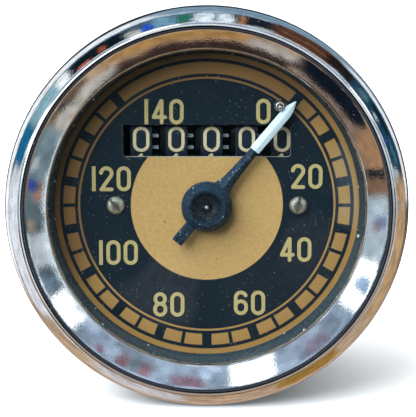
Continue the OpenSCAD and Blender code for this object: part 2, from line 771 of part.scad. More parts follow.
module cross_wheel() {
    color("#c2a14d") translate([0, cross_y, cross_z]) rotate([0, 90, 0]) rotate(90) worm_wheel(cross_teeth, layshaft_r);
}

module cross_worm() {
    color("#b9bdc2") translate([lay_x, cross_y, cross_z]) rotate([0, 90, 0])
        worm(cross_worm_r, -cross_worm_len / 2, cross_worm_len / 2, layshaft_r, 270);
}

// Lay shaft: runs forward along the right cheek to the counter
module lay_shaft() {
    color("#b9bdc2") translate([lay_x, lay_y]) rod(layshaft_r, base_z0 + 0.8, dial_z0 - 0.4);
}

module lay_wheel() {
    color("#c2a14d") translate([lay_x, lay_y, cross_z]) rotate(-90) worm_wheel(lay_teeth, layshaft_r);
}

module lay_worm() {
    color("#b9bdc2") translate([lay_x, lay_y, drum_z])
        worm(lay_worm_r, -lay_worm_len / 2, lay_worm_len / 2, layshaft_r, 270);
}

// Number wheel i: rim for the figures, gear on its right, locking ring and carry teeth on its left
module number_wheel(i) {
    x0 = drum_left(i);
    x1 = x0 + drum_w;
    first = i == 1;
    tooth_half = 0.27 * PI * gear_module;
    hub_x0 = x0 - drum_gap + run;
    hub_x1 = first ? x1 : x1 + drum_gear_w;
    color("#16181c") difference() {
        union() {
            cross_rod(drum_r, x0, x1, drum_y, drum_z);
            cross_rod(drum_hub_r, hub_x0, hub_x1, drum_y, drum_z);
            if (!first)
                translate([x1, drum_y, drum_z]) rotate([0, 90, 0]) rotate(pinion_side + 180 / drum_teeth)
                    linear_extrude(drum_gear_w) polygon(gear_outline(
                        drum_teeth, drum_gear_r - 0.7, drum_gear_r + 0.45, tooth_half * 1.35, tooth_half * 0.55));
            if (i < drum_count) {
                cross_rod(lock_ring_r, x0 - drum_gap + part_gap, x0, drum_y, drum_z);
                translate([x0 - drum_gap + part_gap, drum_y, drum_z]) rotate([0, 90, 0])
                    for (side = [-1, 1]) rotate(pinion_side + 216 + side * 9)
                        translate([lock_ring_r - 0.5, -0.35, 0]) cube([1.1, 0.7, drum_gap - part_gap]);
            }
        }
        cross_rod(odo_shaft_r + run, hub_x0 - 1, hub_x1 + 1, drum_y, drum_z);
    }
}

// Worm wheel fixed to the right side of the units wheel
module counter_wheel() {
    x0 = drum_left(1) + drum_w;
    color("#c2a14d") difference() {
        union() {
            translate([counter_wheel_x, drum_y, drum_z]) rotate([0, 90, 0]) rotate(-90) worm_wheel(counter_teeth, odo_shaft_r + run);
            cross_rod(drum_hub_r, x0, arm_in - 0.1, drum_y, drum_z);
        }
        cross_rod(odo_shaft_r + run, x0 - 1, arm_in + 1, drum_y, drum_z);
    }
}

// Transfer pinion between number wheels i and i + 1: eight short teeth, every second one long
module transfer_pinion(i) {
    x0 = drum_left(i + 1) + drum_w + 0.12;
    x1 = drum_left(i) - 0.12;
    short_w = drum_gear_w - 0.02;
    tooth_half = 0.24 * PI * gear_module;
    root_r = pinion_r - 0.75;
    tip_r = pinion_r + 0.4;
    color("#c2a14d") difference() {
        translate([x0, pinion_y, pinion_z]) rotate([0, 90, 0]) rotate(pinion_side - 90) {
            linear_extrude(short_w) polygon(gear_outline(pinion_teeth, root_r, tip_r, tooth_half * 1.2, tooth_half * 0.5));
            rotate(360 / pinion_teeth) linear_extrude(x1 - x0)
                polygon(gear_outline(pinion_teeth / 2, root_r, tip_r, tooth_half * 1.2, tooth_half * 0.5));
        }
        cross_rod(odo_shaft_r + run, x0 - 1, x1 + 1, pinion_y, pinion_z);
    }
}

upright() case();
upright() flange_ring();
upright() bezel();
upright() glass();
upright() glass_gasket();
upright() dial_ring();
upright() dial_plate();
upright() dial_screws();
upright() stop_pin();
upright() movement_frame();
upright() spindle_cock();
upright() cock_screw();
upright() spindle_bush();
upright() hairspring();
upright() hairspring_stud();
upright() cable_neck();
upright() drive_bush();
upright() mounting_studs();
upright() frame_screws();
upright() lamp_holder();
upright() lamp_bulb();
upright() counter_axle();
upright() pinion_axle();
upright() axle_spacer();
upright() pointer();
upright() spindle();
upright() speed_cup();
upright() hairspring_collet();
upright() drive_shaft();
upright() drive_worm();
upright() magnet();
upright() field_cup();
upright() thrust_washer();
upright() cross_shaft();
upright() cross_wheel();
upright() cross_worm();
upright() lay_shaft();
upright() lay_wheel();
upright() lay_worm();
upright() number_wheel(1);  // number_wheel_1
upright() number_wheel(2);  // number_wheel_2
upright() number_wheel(3);  // number_wheel_3
upright() number_wheel(4);  // number_wheel_4
upright() number_wheel(5);  // number_wheel_5
upright() counter_wheel();
upright() transfer_pinion(1);  // transfer_pinion_1
upright() transfer_pinion(2);  // transfer_pinion_2
upright() transfer_pinion(3);  // transfer_pinion_3
upright() transfer_pinion(4);  // transfer_pinion_4
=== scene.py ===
# %% [markdown]
# # Dressing a panel speedometer
# The imported CAD model holds every piece of the instrument at its real size. This script
# loads it as a fixed frame and gives it its looks: plating, glass, printed dial, painted
# pointer and threads. Loading comes first, and the box of the bare model is kept.

# %% Load the frame
import json
import math

import bmesh
import bpy
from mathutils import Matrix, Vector
from mathutils.geometry import delaunay_2d_cdt


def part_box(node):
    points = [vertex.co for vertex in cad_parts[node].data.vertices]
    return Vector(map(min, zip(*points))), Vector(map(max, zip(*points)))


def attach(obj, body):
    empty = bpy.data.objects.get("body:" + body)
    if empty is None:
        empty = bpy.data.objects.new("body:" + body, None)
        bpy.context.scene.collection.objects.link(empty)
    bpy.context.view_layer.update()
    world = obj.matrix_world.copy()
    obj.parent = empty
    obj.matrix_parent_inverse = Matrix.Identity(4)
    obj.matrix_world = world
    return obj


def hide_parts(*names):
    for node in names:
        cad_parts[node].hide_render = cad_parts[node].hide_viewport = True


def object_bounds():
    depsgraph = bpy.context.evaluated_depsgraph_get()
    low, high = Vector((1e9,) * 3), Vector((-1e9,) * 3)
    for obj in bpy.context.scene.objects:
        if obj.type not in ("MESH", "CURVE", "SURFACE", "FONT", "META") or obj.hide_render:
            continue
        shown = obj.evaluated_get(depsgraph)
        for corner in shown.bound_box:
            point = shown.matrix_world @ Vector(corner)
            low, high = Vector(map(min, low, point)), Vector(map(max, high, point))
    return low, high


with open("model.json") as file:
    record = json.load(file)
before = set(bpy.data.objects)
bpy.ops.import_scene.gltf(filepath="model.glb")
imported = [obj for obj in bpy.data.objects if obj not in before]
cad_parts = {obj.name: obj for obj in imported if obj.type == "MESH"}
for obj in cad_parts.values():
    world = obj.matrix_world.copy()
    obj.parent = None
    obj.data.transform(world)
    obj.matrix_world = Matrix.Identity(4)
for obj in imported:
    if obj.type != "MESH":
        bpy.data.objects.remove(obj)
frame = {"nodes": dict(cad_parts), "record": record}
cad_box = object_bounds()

print("bare model, mm:", [[round(1000 * side, 1) for side in corner] for corner in cad_box])

# %% [markdown]
# ## Drawing on the dial
# A clockmaker measures everything from the spindle: x to the right, y to twelve o'clock, z out
# to the driver, in millimetres. Blender works in metres with the dial facing -Y. All points
# could be typed in metres, but the drawing is easier to check in the maker's own terms, so
# one function turns a dial point into a frame point.

# %% Dial millimetres to frame metres
MM = 0.001


def in_frame(x, y, z):
    return Vector((x, -z, y)) * MM


def clock(angle, radius):
    """Point at a clock angle in degrees, from twelve and clockwise."""
    turn = math.radians(angle)
    return radius * math.sin(turn), radius * math.cos(turn)


low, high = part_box("bezel")
print("bezel, mm: %.1f wide, front at %.1f" % ((high.x - low.x) / MM, -low.y / MM))

# %% [markdown]
# ## Camera
# The picture is taken almost square on, a little from above, with a long lens from about
# 30 cm. A longer distance would flatten the depth between ridge and dial, which the picture
# shows, so the distance is kept real and no lens shift is used.

# %% Camera
VIEW_TILT = math.radians(9.5)
VIEW_DISTANCE = 300.0
LENS, SENSOR, NEAREST = 156.2, 36.0, 0.01
aim_point = Vector((0.2, 0.08, 3.9))
to_eye = Vector((0.0, math.sin(VIEW_TILT), math.cos(VIEW_TILT)))
eye_point = aim_point + VIEW_DISTANCE * to_eye


def facing(place, target):
    """Rotation of a camera or lamp that looks from one point to another."""
    return (target - place).to_track_quat("-Z", "Y").to_euler()


viewer = bpy.data.objects.new("viewer", bpy.data.cameras.new("viewer"))
viewer.data.sensor_width = SENSOR
viewer.data.lens = LENS
viewer.data.clip_start = NEAREST
viewer.location = in_frame(*eye_point)
viewer.rotation_euler = facing(in_frame(*eye_point), in_frame(*aim_point))
bpy.context.scene.collection.objects.link(viewer)
bpy.context.scene.camera = viewer
print("camera at", [round(c, 3) for c in viewer.location])

# %% [markdown]
# ## Colours and nodes
# Colours are written as sRGB hex values, as in any paint program, and turned to linear
# light by one function. Node trees are built by one small function: it adds a node, sets
# its options, and gives each input either a value or the output that feeds it. Most nodes
# are added only to feed the next one, so a second function hands back the output in use.

# %% Colours and nodes
SHARE, UNDER, OVER = 0, 6, 7  # inputs of a node that mixes two colours
CLEAN, DUSTY = 2, 3  # and of one that mixes two numbers, for surface and dust


def linear(hex_code):
    channels = [int(hex_code[i:i + 2], 16) / 255 for i in (0, 2, 4)]
    light = [c / 12.92 if c <= 0.04045 else ((c + 0.055) / 1.055) ** 2.4 for c in channels]
    return (*light, 1.0)


def add_node(tree, kind, sockets=None, **options):
    """Add a node; a shader node goes by its short name."""
    node = tree.nodes.new(kind if "Node" in kind else "ShaderNode" + kind)
    for option, value in options.items():
        setattr(node, option, value)
    for name, value in (sockets or {}).items():
        if isinstance(value, bpy.types.NodeSocket):
            tree.links.new(value, node.inputs[name])
        else:
            node.inputs[name].default_value = value
    return node


def feed(*recipe, **options):
    """Add a node and give back the first output that its options leave in use."""
    return next(output for output in add_node(*recipe, **options).outputs if output.enabled)


def fill_ramp(ramp, stops):
    """Give a colour ramp its stops of (position, colour)."""
    marks = ramp.color_ramp.elements
    while len(marks) < len(stops):
        marks.new(0.5)
    for mark, (position, tone) in zip(marks, stops):
        mark.position, mark.color = position, linear(tone)


print("mid grey in linear light:", round(linear("808080")[0], 3))

# %% [markdown]
# ## Studio
# Chrome has no colour of its own: it shows the room. A picture of a room could be wrapped
# round the scene, but plain cards in the world shader do the same and can be moved one by
# one: a pale ceiling with lamps, a brown bench below, a window on the left, a wooden wall on
# the right and things on shelves. Each card is placed by the faces of the bezel that mirror
# it: from one clock angle to another, and from one lean of the face to another, outwards, or
# inwards where the number is negative. A mirror's face stands halfway between the ray and
# the viewer, so the shader adds the two directions and reads clock angle and lean from the
# sum. The viewer is near, which adds a few degrees at the rim. Only mirror rays see the
# cards. A ray that has met a matt surface gets even, slightly cool light instead.

# %% Things in the room
# Height of the ray, from straight down to straight up, and the tone there
BENCH_TO_CEILING = [
    (-1.00, "E2BE9C"), (-0.60, "DCBB9C"), (-0.34, "A88A74"), (-0.14, "5A5350"),
    (0.08, "4A5864"), (0.30, "8FA9BC"), (0.55, "B9CDE4"), (1.00, "C6DCF4"),
]
# Each card: clock angles from and to, leans from and to, colour, strength
CARDS = [
    (288, 373, 39.3, 50.3, "7292A4", 0.75),  # far shelves
    (238, 283, 37.3, 50.3, "E6E8F0", 1.5),  # window on the left
    (284, 296.5, 39.3, 50.3, "2A86B8", 0.85),  # blue curtain beside it
    (297, 311, 39.3, 50.3, "A4D0DC", 1.1),  # glass door
    (309.5, 316, 39.3, 49, "FFFFFF", 1.5),  # gap of light
    (315.5, 335, 39.8, 49.3, "1E303A", 0.7),  # dark shelf
    (318.5, 322.5, 39.8, 43.3, "E0785A", 0.9),  # clay pots
    (326, 328, 41.3, 46.3, "E0785A", 0.9),
    (335.5, 340.5, 39.3, 45.3, "E6E8DC", 1.0),  # jug
    (340.5, 344, 40.3, 47.3, "2F6AE0", 0.95),  # blue tin
    (344, 351, 39.3, 49.3, "86BAD6", 1.0),  # jars
    (351, 355.5, 41.3, 48.3, "3E9A86", 0.85),  # green tin
    (349, 356, 38.8, 40.3, "C06A6A", 0.9),  # red cloth
    (356.5, 368, 38.3, 49.3, "E8F4FA", 1.5),  # panes over the bench
    (362, 363.2, 38.3, 49.3, "86AABA", 0.9),  # glazing bar
    (368, 384, 41.8, 50.3, "28323E", 0.8),  # dark nook
    (369.5, 371.5, 38.3, 49.3, "D59C72", 0.9),  # lamp arm
    (373, 386, 38.3, 42.3, "C8D4D2", 0.95),  # sheet of paper
    (380, 403, 40.3, 55, "6E4A3C", 0.85),  # wooden beam
    (379, 400, 39.9, 41.1, "D09A6C", 0.9),  # its edge in the light
    (382, 399, 45.0, 46.2, "9A6A48", 0.9),  # streak in its grain
    (404, 437, 40.6, 51.3, "2A566E", 0.85),  # dark doorway, upper right
    (398, 408, 41.5, 50.3, "2A2422", 0.9),  # end of the beam
    (411, 415, 42.5, 48.5, "5C8896", 0.9),  # door post
    (416, 427, 45.6, 48.6, "16303E", 0.9),  # coat in the doorway
    (428, 435, 44.6, 47.2, "4E8496", 0.9),  # chair beside it
    (419, 421.5, 42.3, 44.3, "DDE8EC", 1.0),  # things in the doorway
    (427, 429, 41.3, 43.3, "3A62D8", 0.9),
    (437, 441, 40.3, 46.3, "C8D2D6", 1.0),  # second jug
    (441, 483, 38.8, 52.3, "E2B88A", 1.0),  # wooden wall, right
    (446, 450, 42.3, 45.3, "AEB8BA", 0.9),  # handle on it
    (137, 158, 39.3, 50.3, "C8984C", 0.92),  # brass tray on the bench
    (187, 216, 38.8, 51.3, "EDE4E2", 1.05),  # paper on the bench
    (248, 346, 51.5, 68, "FFFFFF", 1.5),  # pale wall behind the object
    (346, 402, 53.5, 79, "9CBBD0", 0.95),
    (405, 447, 52.3, 64.3, "FFFFFF", 1.3),
    (60, 272, 70.3, 93.3, "0C1014", 1.0),  # dark floor behind it
    (272, 346, 72.3, 93.3, "1E2A38", 1.0),
    (300, 480, 38.3, 39.7, "FFFFFF", 1.2),  # bright cornice
    (326, 378, -34, -38.4, "D6A364", 0.95),  # wooden tray below
    (314, 424, -39, -44, "4A3834", 0.9),  # shade under it
    (374, 391, -36.3, -39.4, "D8CCC0", 0.95),  # envelope on the tray
    (390, 424, -39.8, -41.5, "B49A8A", 0.95),  # plank
    (391, 422, -33.5, -39.9, "18222E", 0.95),  # dark box on the left
    (422, 435.5, -34, -41, "D0A078", 0.9),  # wooden boxes
    (435.5, 439, -34, -40.5, "28323A", 1.0),
    (439, 445, -34, -40.5, "A98468", 0.85),
    (445, 467, -34, -42, "CFE2EC", 1.1),  # pale cupboard
    (452, 456, -36.5, -39.5, "96A4CC", 0.9),  # cups in it
    (454, 457, -38, -40, "B298A4", 0.9),
    (467.5, 484, -34, -43, "FFFFFF", 2.6),  # bright pane
    (472.5, 478.5, -36.2, -39.8, "B4D0F0", 1.2),
    (157, 172, -34, -43, "FFFFFF", 2.8),  # lamps in the ceiling
    (229, 240, -34, -43, "FFFFFF", 2.6),
    (136, 144, -35.5, -39.5, "A29CB2", 0.9),  # books
    (181, 192, -35.5, -39, "C0A0B4", 0.9),
    (199, 203, -35.5, -39.5, "B08A98", 0.95),
    (203.5, 206, -36, -40, "7E98A4", 0.9),
    (207, 211.5, -35.5, -39.5, "A67A88", 0.95),
    (216, 219, -35.5, -38, "A27888", 0.95),
    (240, 264, -34, -36, "F0F8FC", 1.3),  # pale wall, right
    (251, 263, -35, -41, "DCE6EA", 1.05),
    (226, 300, -40.2, -43, "E8F6FA", 1.3),
    (263, 276, -34, -40.1, "7F949C", 0.85),  # grey cloth
    (264, 268, -36.5, -38.5, "C0AC94", 0.9),
    (273.5, 277, -38, -40.5, "C89884", 0.9),
    (276.5, 281, -36, -38.8, "2A50B8", 0.95),  # second blue tin
    (281, 300, -34, -41, "90AAB2", 0.9),  # glass case
    (283, 288, -35.5, -38, "D2DCDC", 1.0),
    (300, 318, -34, -38, "8C7868", 0.85),  # parcel
    (304, 308, -36.5, -38.2, "44525E", 0.9),
    (300, 327, -38.2, -40.6, "DCD6CC", 1.0),  # pale sheet
    (398, 470, -43.6, -46.6, "F0F4F6", 1.5),  # white rail
    (236, 452, 10.3, 23.3, "F6FAFE", 1.3),  # bright wall behind the camera
    (282, 336, 14.3, 24.3, "FFFFFF", 3.0),  # its window
    (90, 234, 11.3, 21.3, "CFC4BC", 1.0),  # its duller lower part
    (-540, 540, -16.2, 10.8, "0F1A20", 1.0),  # dark cloth round the camera
    (112, 168, 1.3, 11.3, "453D3A", 0.9),  # bench edge
    (190, 230, 1.3, 7.3, "8A8288", 0.72),  # folds of the cloth in the light
    (94, 130, 3.8, 7.6, "6E6468", 0.7),
    (66, 97, 7.4, 12.3, "B4D0E0", 0.8),  # haze of the window
    (-60, 60, 79.3, 97.3, "262D34", 1.0),  # far corner
]
print("studio cards:", len(CARDS))

# %% Rays into the room
WOBBLE, WOBBLE_SCALE = 0.09, 7.0  # nothing in a room has quite straight edges
SHELF_CELLS, BIT_CELLS = 9.0, 26.0
studio = bpy.data.worlds.new("studio")
bpy.context.scene.world = studio
studio.use_nodes = True
room = studio.node_tree
room.nodes.clear()
ray = add_node(room, "TexCoord").outputs["Generated"]
wobble = add_node(room, "TexNoise", {"Vector": ray, "Scale": WOBBLE_SCALE, "Detail": 4.0}).outputs["Color"]
centred = feed(room, "VectorMath", {0: wobble, 1: (0.5, 0.5, 0.5)}, operation="SUBTRACT")
bent = feed(room, "VectorMath", {0: centred, 1: (WOBBLE, WOBBLE, WOBBLE), 2: ray}, operation="MULTIPLY_ADD")
toward = feed(room, "VectorMath", {0: bent}, operation="NORMALIZE")
height = add_node(room, "SeparateXYZ", {0: toward}).outputs["Z"]
rise = feed(room, "MapRange", {"Value": height, "From Min": -1.0, "From Max": 1.0})
shade = add_node(room, "ValToRGB", {"Fac": rise})
fill_ramp(shade, [((level + 1) / 2, tone) for level, tone in BENCH_TO_CEILING])
plain = shade.outputs["Color"]
# Things on shelves: cells of uneven brightness, only above the bench
things = add_node(room, "TexVoronoi", {"Vector": toward, "Scale": SHELF_CELLS}).outputs["Color"]
thing = feed(room, "SeparateColor", {0: things})
thing_light = feed(room, "MapRange", {"Value": thing, "To Min": 0.5, "To Max": 1.45})
above = feed(room, "MapRange", {"Value": height, "From Min": -0.1, "From Max": 0.35, "To Max": 0.8})
uneven = feed(room, "VectorMath", {0: plain, "Scale": thing_light}, operation="SCALE")
seen = feed(room, "Mix", {SHARE: above, UNDER: plain, OVER: uneven}, data_type="RGBA")
# The face that mirrors this ray to the viewer: its clock angle and its lean
halfway = feed(room, "VectorMath", {0: toward, 1: in_frame(*to_eye) / MM}, operation="ADD")
face_way = feed(room, "VectorMath", {0: halfway}, operation="NORMALIZE")
face_part = add_node(room, "SeparateXYZ", {0: face_way}).outputs
face_clock = feed(room, "Math", {0: face_part["X"], 1: face_part["Z"]}, operation="ARCTAN2")
face_front = feed(room, "Math", {0: face_part["Y"], 1: -1.0}, operation="MULTIPLY")
face_lean = feed(room, "Math", {0: face_front}, operation="ARCCOSINE")
mirror_face = feed(room, "CombineXYZ", {"X": face_clock, "Y": face_lean})
print("room nodes before the cards:", len(room.nodes))

# %% Cards
CARD_SOFTNESS = 0.18
CONE_R = 28.5  # about the middle of the bezel's cone, which shows many of the cards
NEAR_VIEW = math.degrees(math.atan(CONE_R / VIEW_DISTANCE)) / 2
FAR = 9  # more radians than any lean
for clock_from, clock_to, lean_from, lean_to, tone, strength in CARDS:
    opposite = 180 if lean_to < 0 else 0
    middle = math.radians((clock_from + clock_to) / 2 + opposite)
    lean = math.radians(abs((lean_from + lean_to) / 2 + NEAR_VIEW))
    per_clock = 2 / math.radians(clock_to - clock_from)
    per_lean = 2 / math.radians(abs(lean_to - lean_from))
    near = feed(room, "VectorMath", {
        0: mirror_face, 1: (middle + math.pi, FAR, FAR), 2: (middle - math.pi, -FAR, -FAR)}, operation="WRAP")
    # Card coordinates run from -1 to 1; their fourth powers add up to a square with round corners
    on_card = feed(room, "VectorMath", {
        0: near, 1: (per_clock, per_lean, 0), 2: (-middle * per_clock, -lean * per_lean, 0),
    }, operation="MULTIPLY_ADD")
    squared = feed(room, "VectorMath", {0: on_card, 1: on_card}, operation="MULTIPLY")
    edge = feed(room, "VectorMath", {0: squared, 1: squared}, operation="DOT_PRODUCT")
    inside = feed(room, "MapRange", {
        "Value": edge, "From Min": (1 + CARD_SOFTNESS) ** 4, "From Max": (1 - CARD_SOFTNESS) ** 4,
    }, interpolation_type="SMOOTHSTEP")
    card = [strength * c for c in linear(tone)[:3]] + [1.0]
    seen = feed(room, "Mix", {SHARE: inside, UNDER: seen, OVER: card}, data_type="RGBA")
# Small detail on everything, so that no card is quite plain
bits = add_node(room, "TexVoronoi", {"Vector": toward, "Scale": BIT_CELLS}).outputs["Color"]
bit = feed(room, "SeparateColor", {0: bits})
bit_light = feed(room, "MapRange", {"Value": bit, "To Min": 0.66, "To Max": 1.32})
seen = feed(room, "VectorMath", {0: seen, "Scale": bit_light}, operation="SCALE")
print("room nodes with the cards:", len(room.nodes))

# %% Who sees what
STUDIO_TONE, STUDIO_STRENGTH = "E4EEF6", 0.34
BACKDROP_TONE = "F8F9FA"
rays = add_node(room, "LightPath").outputs
even_light = feed(room, "Background", {"Color": linear(STUDIO_TONE), "Strength": STUDIO_STRENGTH})
mirror_room = feed(room, "Background", {"Color": seen, "Strength": 1.0})
backdrop = feed(room, "Background", {"Color": linear(BACKDROP_TONE), "Strength": 1.0})
by_chrome = feed(room, "Math", {0: rays["Diffuse Depth"], 1: 0.5}, operation="LESS_THAN")
by_mirror = feed(room, "MixShader", {0: by_chrome, 1: even_light, 2: mirror_room})
by_eye = feed(room, "MixShader", {0: rays["Is Camera Ray"], 1: by_mirror, 2: backdrop})
add_node(room, "OutputWorld", {"Surface": by_eye})
bpy.context.scene.view_settings.view_transform = "Standard"
print("even light:", STUDIO_STRENGTH)

# %% [markdown]
# ## Lamps and floor
# One lamp at the upper left throws the soft shadows that the picture shows: the bezel shades
# the upper left half of the dial's edge, and the pointer's shadow falls to the lower right. A
# wide lamp high behind brightens the floor, a plain pale sheet. Mirror rays pass lamps and
# floor by, because the chrome shows the cards of the studio instead.

# %% Lamps and floor
FLOOR_HALF, FLOOR_TILES = 6.0, 8


def hang_lamp(name, place, target, across, watts, tone):
    lamp = bpy.data.objects.new(name, bpy.data.lights.new(name, "AREA"))
    lamp.data.shape, lamp.data.size = "DISK", across
    lamp.data.energy = watts
    lamp.data.color = linear(tone)[:3]
    lamp.location = place
    lamp.rotation_euler = facing(Vector(place), Vector(target))
    lamp.visible_transmission = lamp.visible_glossy = False
    bpy.context.scene.collection.objects.link(lamp)


hang_lamp("key_lamp", (-0.306, -0.336, 0.392), (0, 0, 0), across=0.7, watts=11.9, tone="F6FAFF")
hang_lamp("floor_lamp", (0, 3.4, 2.6), (0, 3.4, 0), across=7.4, watts=350.0, tone="FFFFFF")

sheet_mesh = bmesh.new()
bmesh.ops.create_grid(sheet_mesh, x_segments=FLOOR_TILES, y_segments=FLOOR_TILES, size=FLOOR_HALF)
floor_mesh = bpy.data.meshes.new("floor")
sheet_mesh.to_mesh(floor_mesh)
sheet_mesh.free()
floor = bpy.data.objects.new("floor", floor_mesh)
floor.location.z = cad_box[0].z
floor.visible_transmission = floor.visible_glossy = False
bpy.context.scene.collection.objects.link(floor)
print("floor at %.1f mm" % (floor.location.z / MM))

# %% [markdown]
# ## One recipe for most finishes
# Paint, plating and ink differ in tone, grain and shine, but all are a base with a fine
# grain, a roughness that follows it, sometimes a little relief, and dust that has settled.
# Each could have its own tree of nodes. One recipe with named quantities is easier to
# compare, and every scale in it is a real size in millimetres.

# %% The recipe
GRAIN_LOW, GRAIN_HIGH = 0.32, 0.68  # the noise seldom leaves this part of its range
DUST_ROUGHNESS, DUST_RARITY = 0.9, 4.0


def make_finish(name, tones, grain_mm, roughness, metallic=0.0, relief_mm=0.0,
                dust_mm=0.0, dust_reach=0.3, dust_tone="AEB6B8", stretch=(1, 1, 1), **fixed):
    finish = bpy.data.materials.new(name)
    finish.use_nodes = True
    tree = finish.node_tree
    shader = tree.nodes["Principled BSDF"].inputs
    for socket, value in fixed.items():
        shader[socket.replace("_", " ")].default_value = value
    shader["Metallic"].default_value = metallic
    place = add_node(tree, "TexCoord").outputs["Object"]
    drawn = feed(tree, "Mapping", {"Vector": place, "Scale": stretch})
    grain = feed(tree, "TexNoise", {
        "Vector": drawn, "Scale": 1 / (grain_mm * MM), "Detail": 4.0, "Roughness": 0.6})
    blend = add_node(tree, "ValToRGB", {"Fac": grain})
    step = (GRAIN_HIGH - GRAIN_LOW) / (len(tones) - 1)
    fill_ramp(blend, [(GRAIN_LOW + step * i, tone) for i, tone in enumerate(tones)])
    colour = blend.outputs["Color"]
    dull = feed(tree, "MapRange", {
        "Value": grain, "From Min": GRAIN_LOW, "From Max": GRAIN_HIGH,
        "To Min": roughness[0], "To Max": roughness[1]})
    if dust_mm:
        cells = add_node(tree, "TexVoronoi", {"Vector": place, "Scale": 1 / (dust_mm * MM)}).outputs
        chance = feed(tree, "SeparateColor", {0: cells["Color"]})
        reach = feed(tree, "Math", {0: chance, 1: DUST_RARITY}, operation="POWER")
        size = feed(tree, "Math", {0: reach, 1: dust_reach}, operation="MULTIPLY")
        speck = feed(tree, "Math", {0: cells["Distance"], 1: size}, operation="LESS_THAN")
        colour = feed(tree, "Mix", {SHARE: speck, UNDER: colour, OVER: linear(dust_tone)}, data_type="RGBA")
        dull = feed(tree, "Mix", {SHARE: speck, CLEAN: dull, DUSTY: DUST_ROUGHNESS})
        if metallic:
            bare = feed(tree, "Mix", {SHARE: speck, CLEAN: metallic, DUSTY: 0.0})
            tree.links.new(bare, shader["Metallic"])
    tree.links.new(colour, shader["Base Color"])
    tree.links.new(dull, shader["Roughness"])
    if relief_mm:
        bump = feed(tree, "Bump", {"Height": grain, "Strength": 1.0, "Distance": relief_mm * MM})
        tree.links.new(bump, shader["Normal"])
    print("finish:", name)
    return finish


# Painted board, rolled matt: no shine, the faintest cloud in the white
pale_board = make_finish("board_matt_white_paint", ["EEEFEF", "F6F7F7"], 120.0, (0.85, 0.95))
floor.data.materials.append(pale_board)

# %% [markdown]
# ## A lathe and a place to keep pieces
# Most pieces here were turned or spun, so the script has a lathe: a section of radius and
# height, carried round the axis. The section may change with the angle, which gives threads
# and hexagons. Blender's Screw modifier could do the plain ones, but not those two, and one
# tool for all keeps the mesh tidy. Sharp corners are marked by their angle, the rest is
# shaded smooth.

# %% Lathe
AXIS_GAP = 0.02  # the section of a solid piece stops this close to its axis


def arc(cx, cy, r, start, end, count):
    turns = [math.radians(start + (end - start) * i / count) for i in range(count + 1)]
    return [(cx + r * math.cos(t), cy + r * math.sin(t)) for t in turns]


def bow(p, pull, q, count):
    """Curve from p to q, which leaves p towards the pull and comes from it to q."""
    steps = [i / count for i in range(count + 1)]
    blend = [((1 - t) ** 2, 2 * t * (1 - t), t * t) for t in steps]
    return [tuple(u * a + v * c + w * b for a, c, b in zip(p, pull, q)) for u, v, w in blend]


def turned(section, steps=160, at=(0.0, 0.0), closed=True):
    """Carry a section of (radius, height), or one that depends on the angle, round the axis."""
    section_at = section if callable(section) else lambda angle: section
    angles = [2 * math.pi * i / steps for i in range(steps)]
    rings = [section_at(angle) for angle in angles]
    count = len(rings[0])
    points = [
        (at[0] + r * math.cos(a), at[1] + r * math.sin(a), z)
        for a, ring in zip(angles, rings) for r, z in ring
    ]
    faces = []
    for i in range(steps):
        here, there = i * count, (i + 1) % steps * count
        for k in range(count if closed else count - 1):
            n = (k + 1) % count
            faces.append((here + k, there + k, there + n, here + n))
    return points, faces


print("faces of a turned washer:", len(turned([(3, 0), (5, 0), (5, 1), (3, 1)], 64)[1]))

# %% Skins and pieces
WELD_GAP, NO_LENGTH = 1e-7, 1e-8


def joined(skins):
    """Several skins of (points, faces) as one."""
    points, faces = [], []
    for more_points, more_faces in skins:
        faces += [tuple(i + len(points) for i in loop) for loop in more_faces]
        points += more_points
    return points, faces


def keep_piece(name, skin, finishes, body, sharp=32.0, which=None):
    """Make a mesh piece from a skin, weld it, shade it, and let it ride on its body."""
    points, faces = skin
    work = bmesh.new()
    corners = [work.verts.new(in_frame(*p)) for p in points]
    for index, loop in enumerate(faces):
        face = work.faces.new([corners[i] for i in loop])
        face.material_index = which(index) if which else 0
    bmesh.ops.remove_doubles(work, verts=work.verts, dist=WELD_GAP)
    bmesh.ops.dissolve_degenerate(work, edges=work.edges, dist=NO_LENGTH)
    bmesh.ops.recalc_face_normals(work, faces=work.faces)
    mesh = bpy.data.meshes.new(name)
    work.to_mesh(mesh)
    work.free()
    mesh.shade_smooth()
    mesh.set_sharp_from_angle(angle=math.radians(sharp))
    piece = bpy.data.objects.new(name, mesh)
    bpy.context.scene.collection.objects.link(piece)
    for finish in finishes:
        mesh.materials.append(finish)
    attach(piece, body)
    print("%-22s %6d faces on %s" % (name, len(mesh.polygons), body))
    return piece


# %% [markdown]
# ## Bezel
# The bezel is one pressed steel ring, polished and chromium plated. From the outside in it
# has a straight skirt, a rounded band, a crease, a cone that runs down to the glass, and a
# steep lip. It is turned on the lathe from its section, because chrome shows every facet
# and a lathe with many steps gives clean reflections. Old polish has dried in the crease, so
# that narrow strip gets a finish of its own.

# %% Bezel finishes
PIT_MM, PIT_DEPTH = 0.35, 0.007
# Chromium over polished steel: a mirror with broad clouds of haze and a skin of fine pits
chromium_plate = make_finish(
    "chromium_plate_polished", ["BFC3C7", "CDD0D3"], 7.0, (0.02, 0.09), metallic=1.0,
    dust_mm=0.6, dust_reach=0.1, dust_tone="B4BABF")
plate_tree = chromium_plate.node_tree
pit_place = add_node(plate_tree, "TexCoord").outputs["Object"]
pits = feed(plate_tree, "TexNoise", {"Vector": pit_place, "Scale": 1 / (PIT_MM * MM), "Detail": 3.0})
pitted = feed(plate_tree, "Bump", {"Height": pits, "Strength": 1.0, "Distance": PIT_DEPTH * MM})
plate_tree.links.new(pitted, plate_tree.nodes["Principled BSDF"].inputs["Normal"])
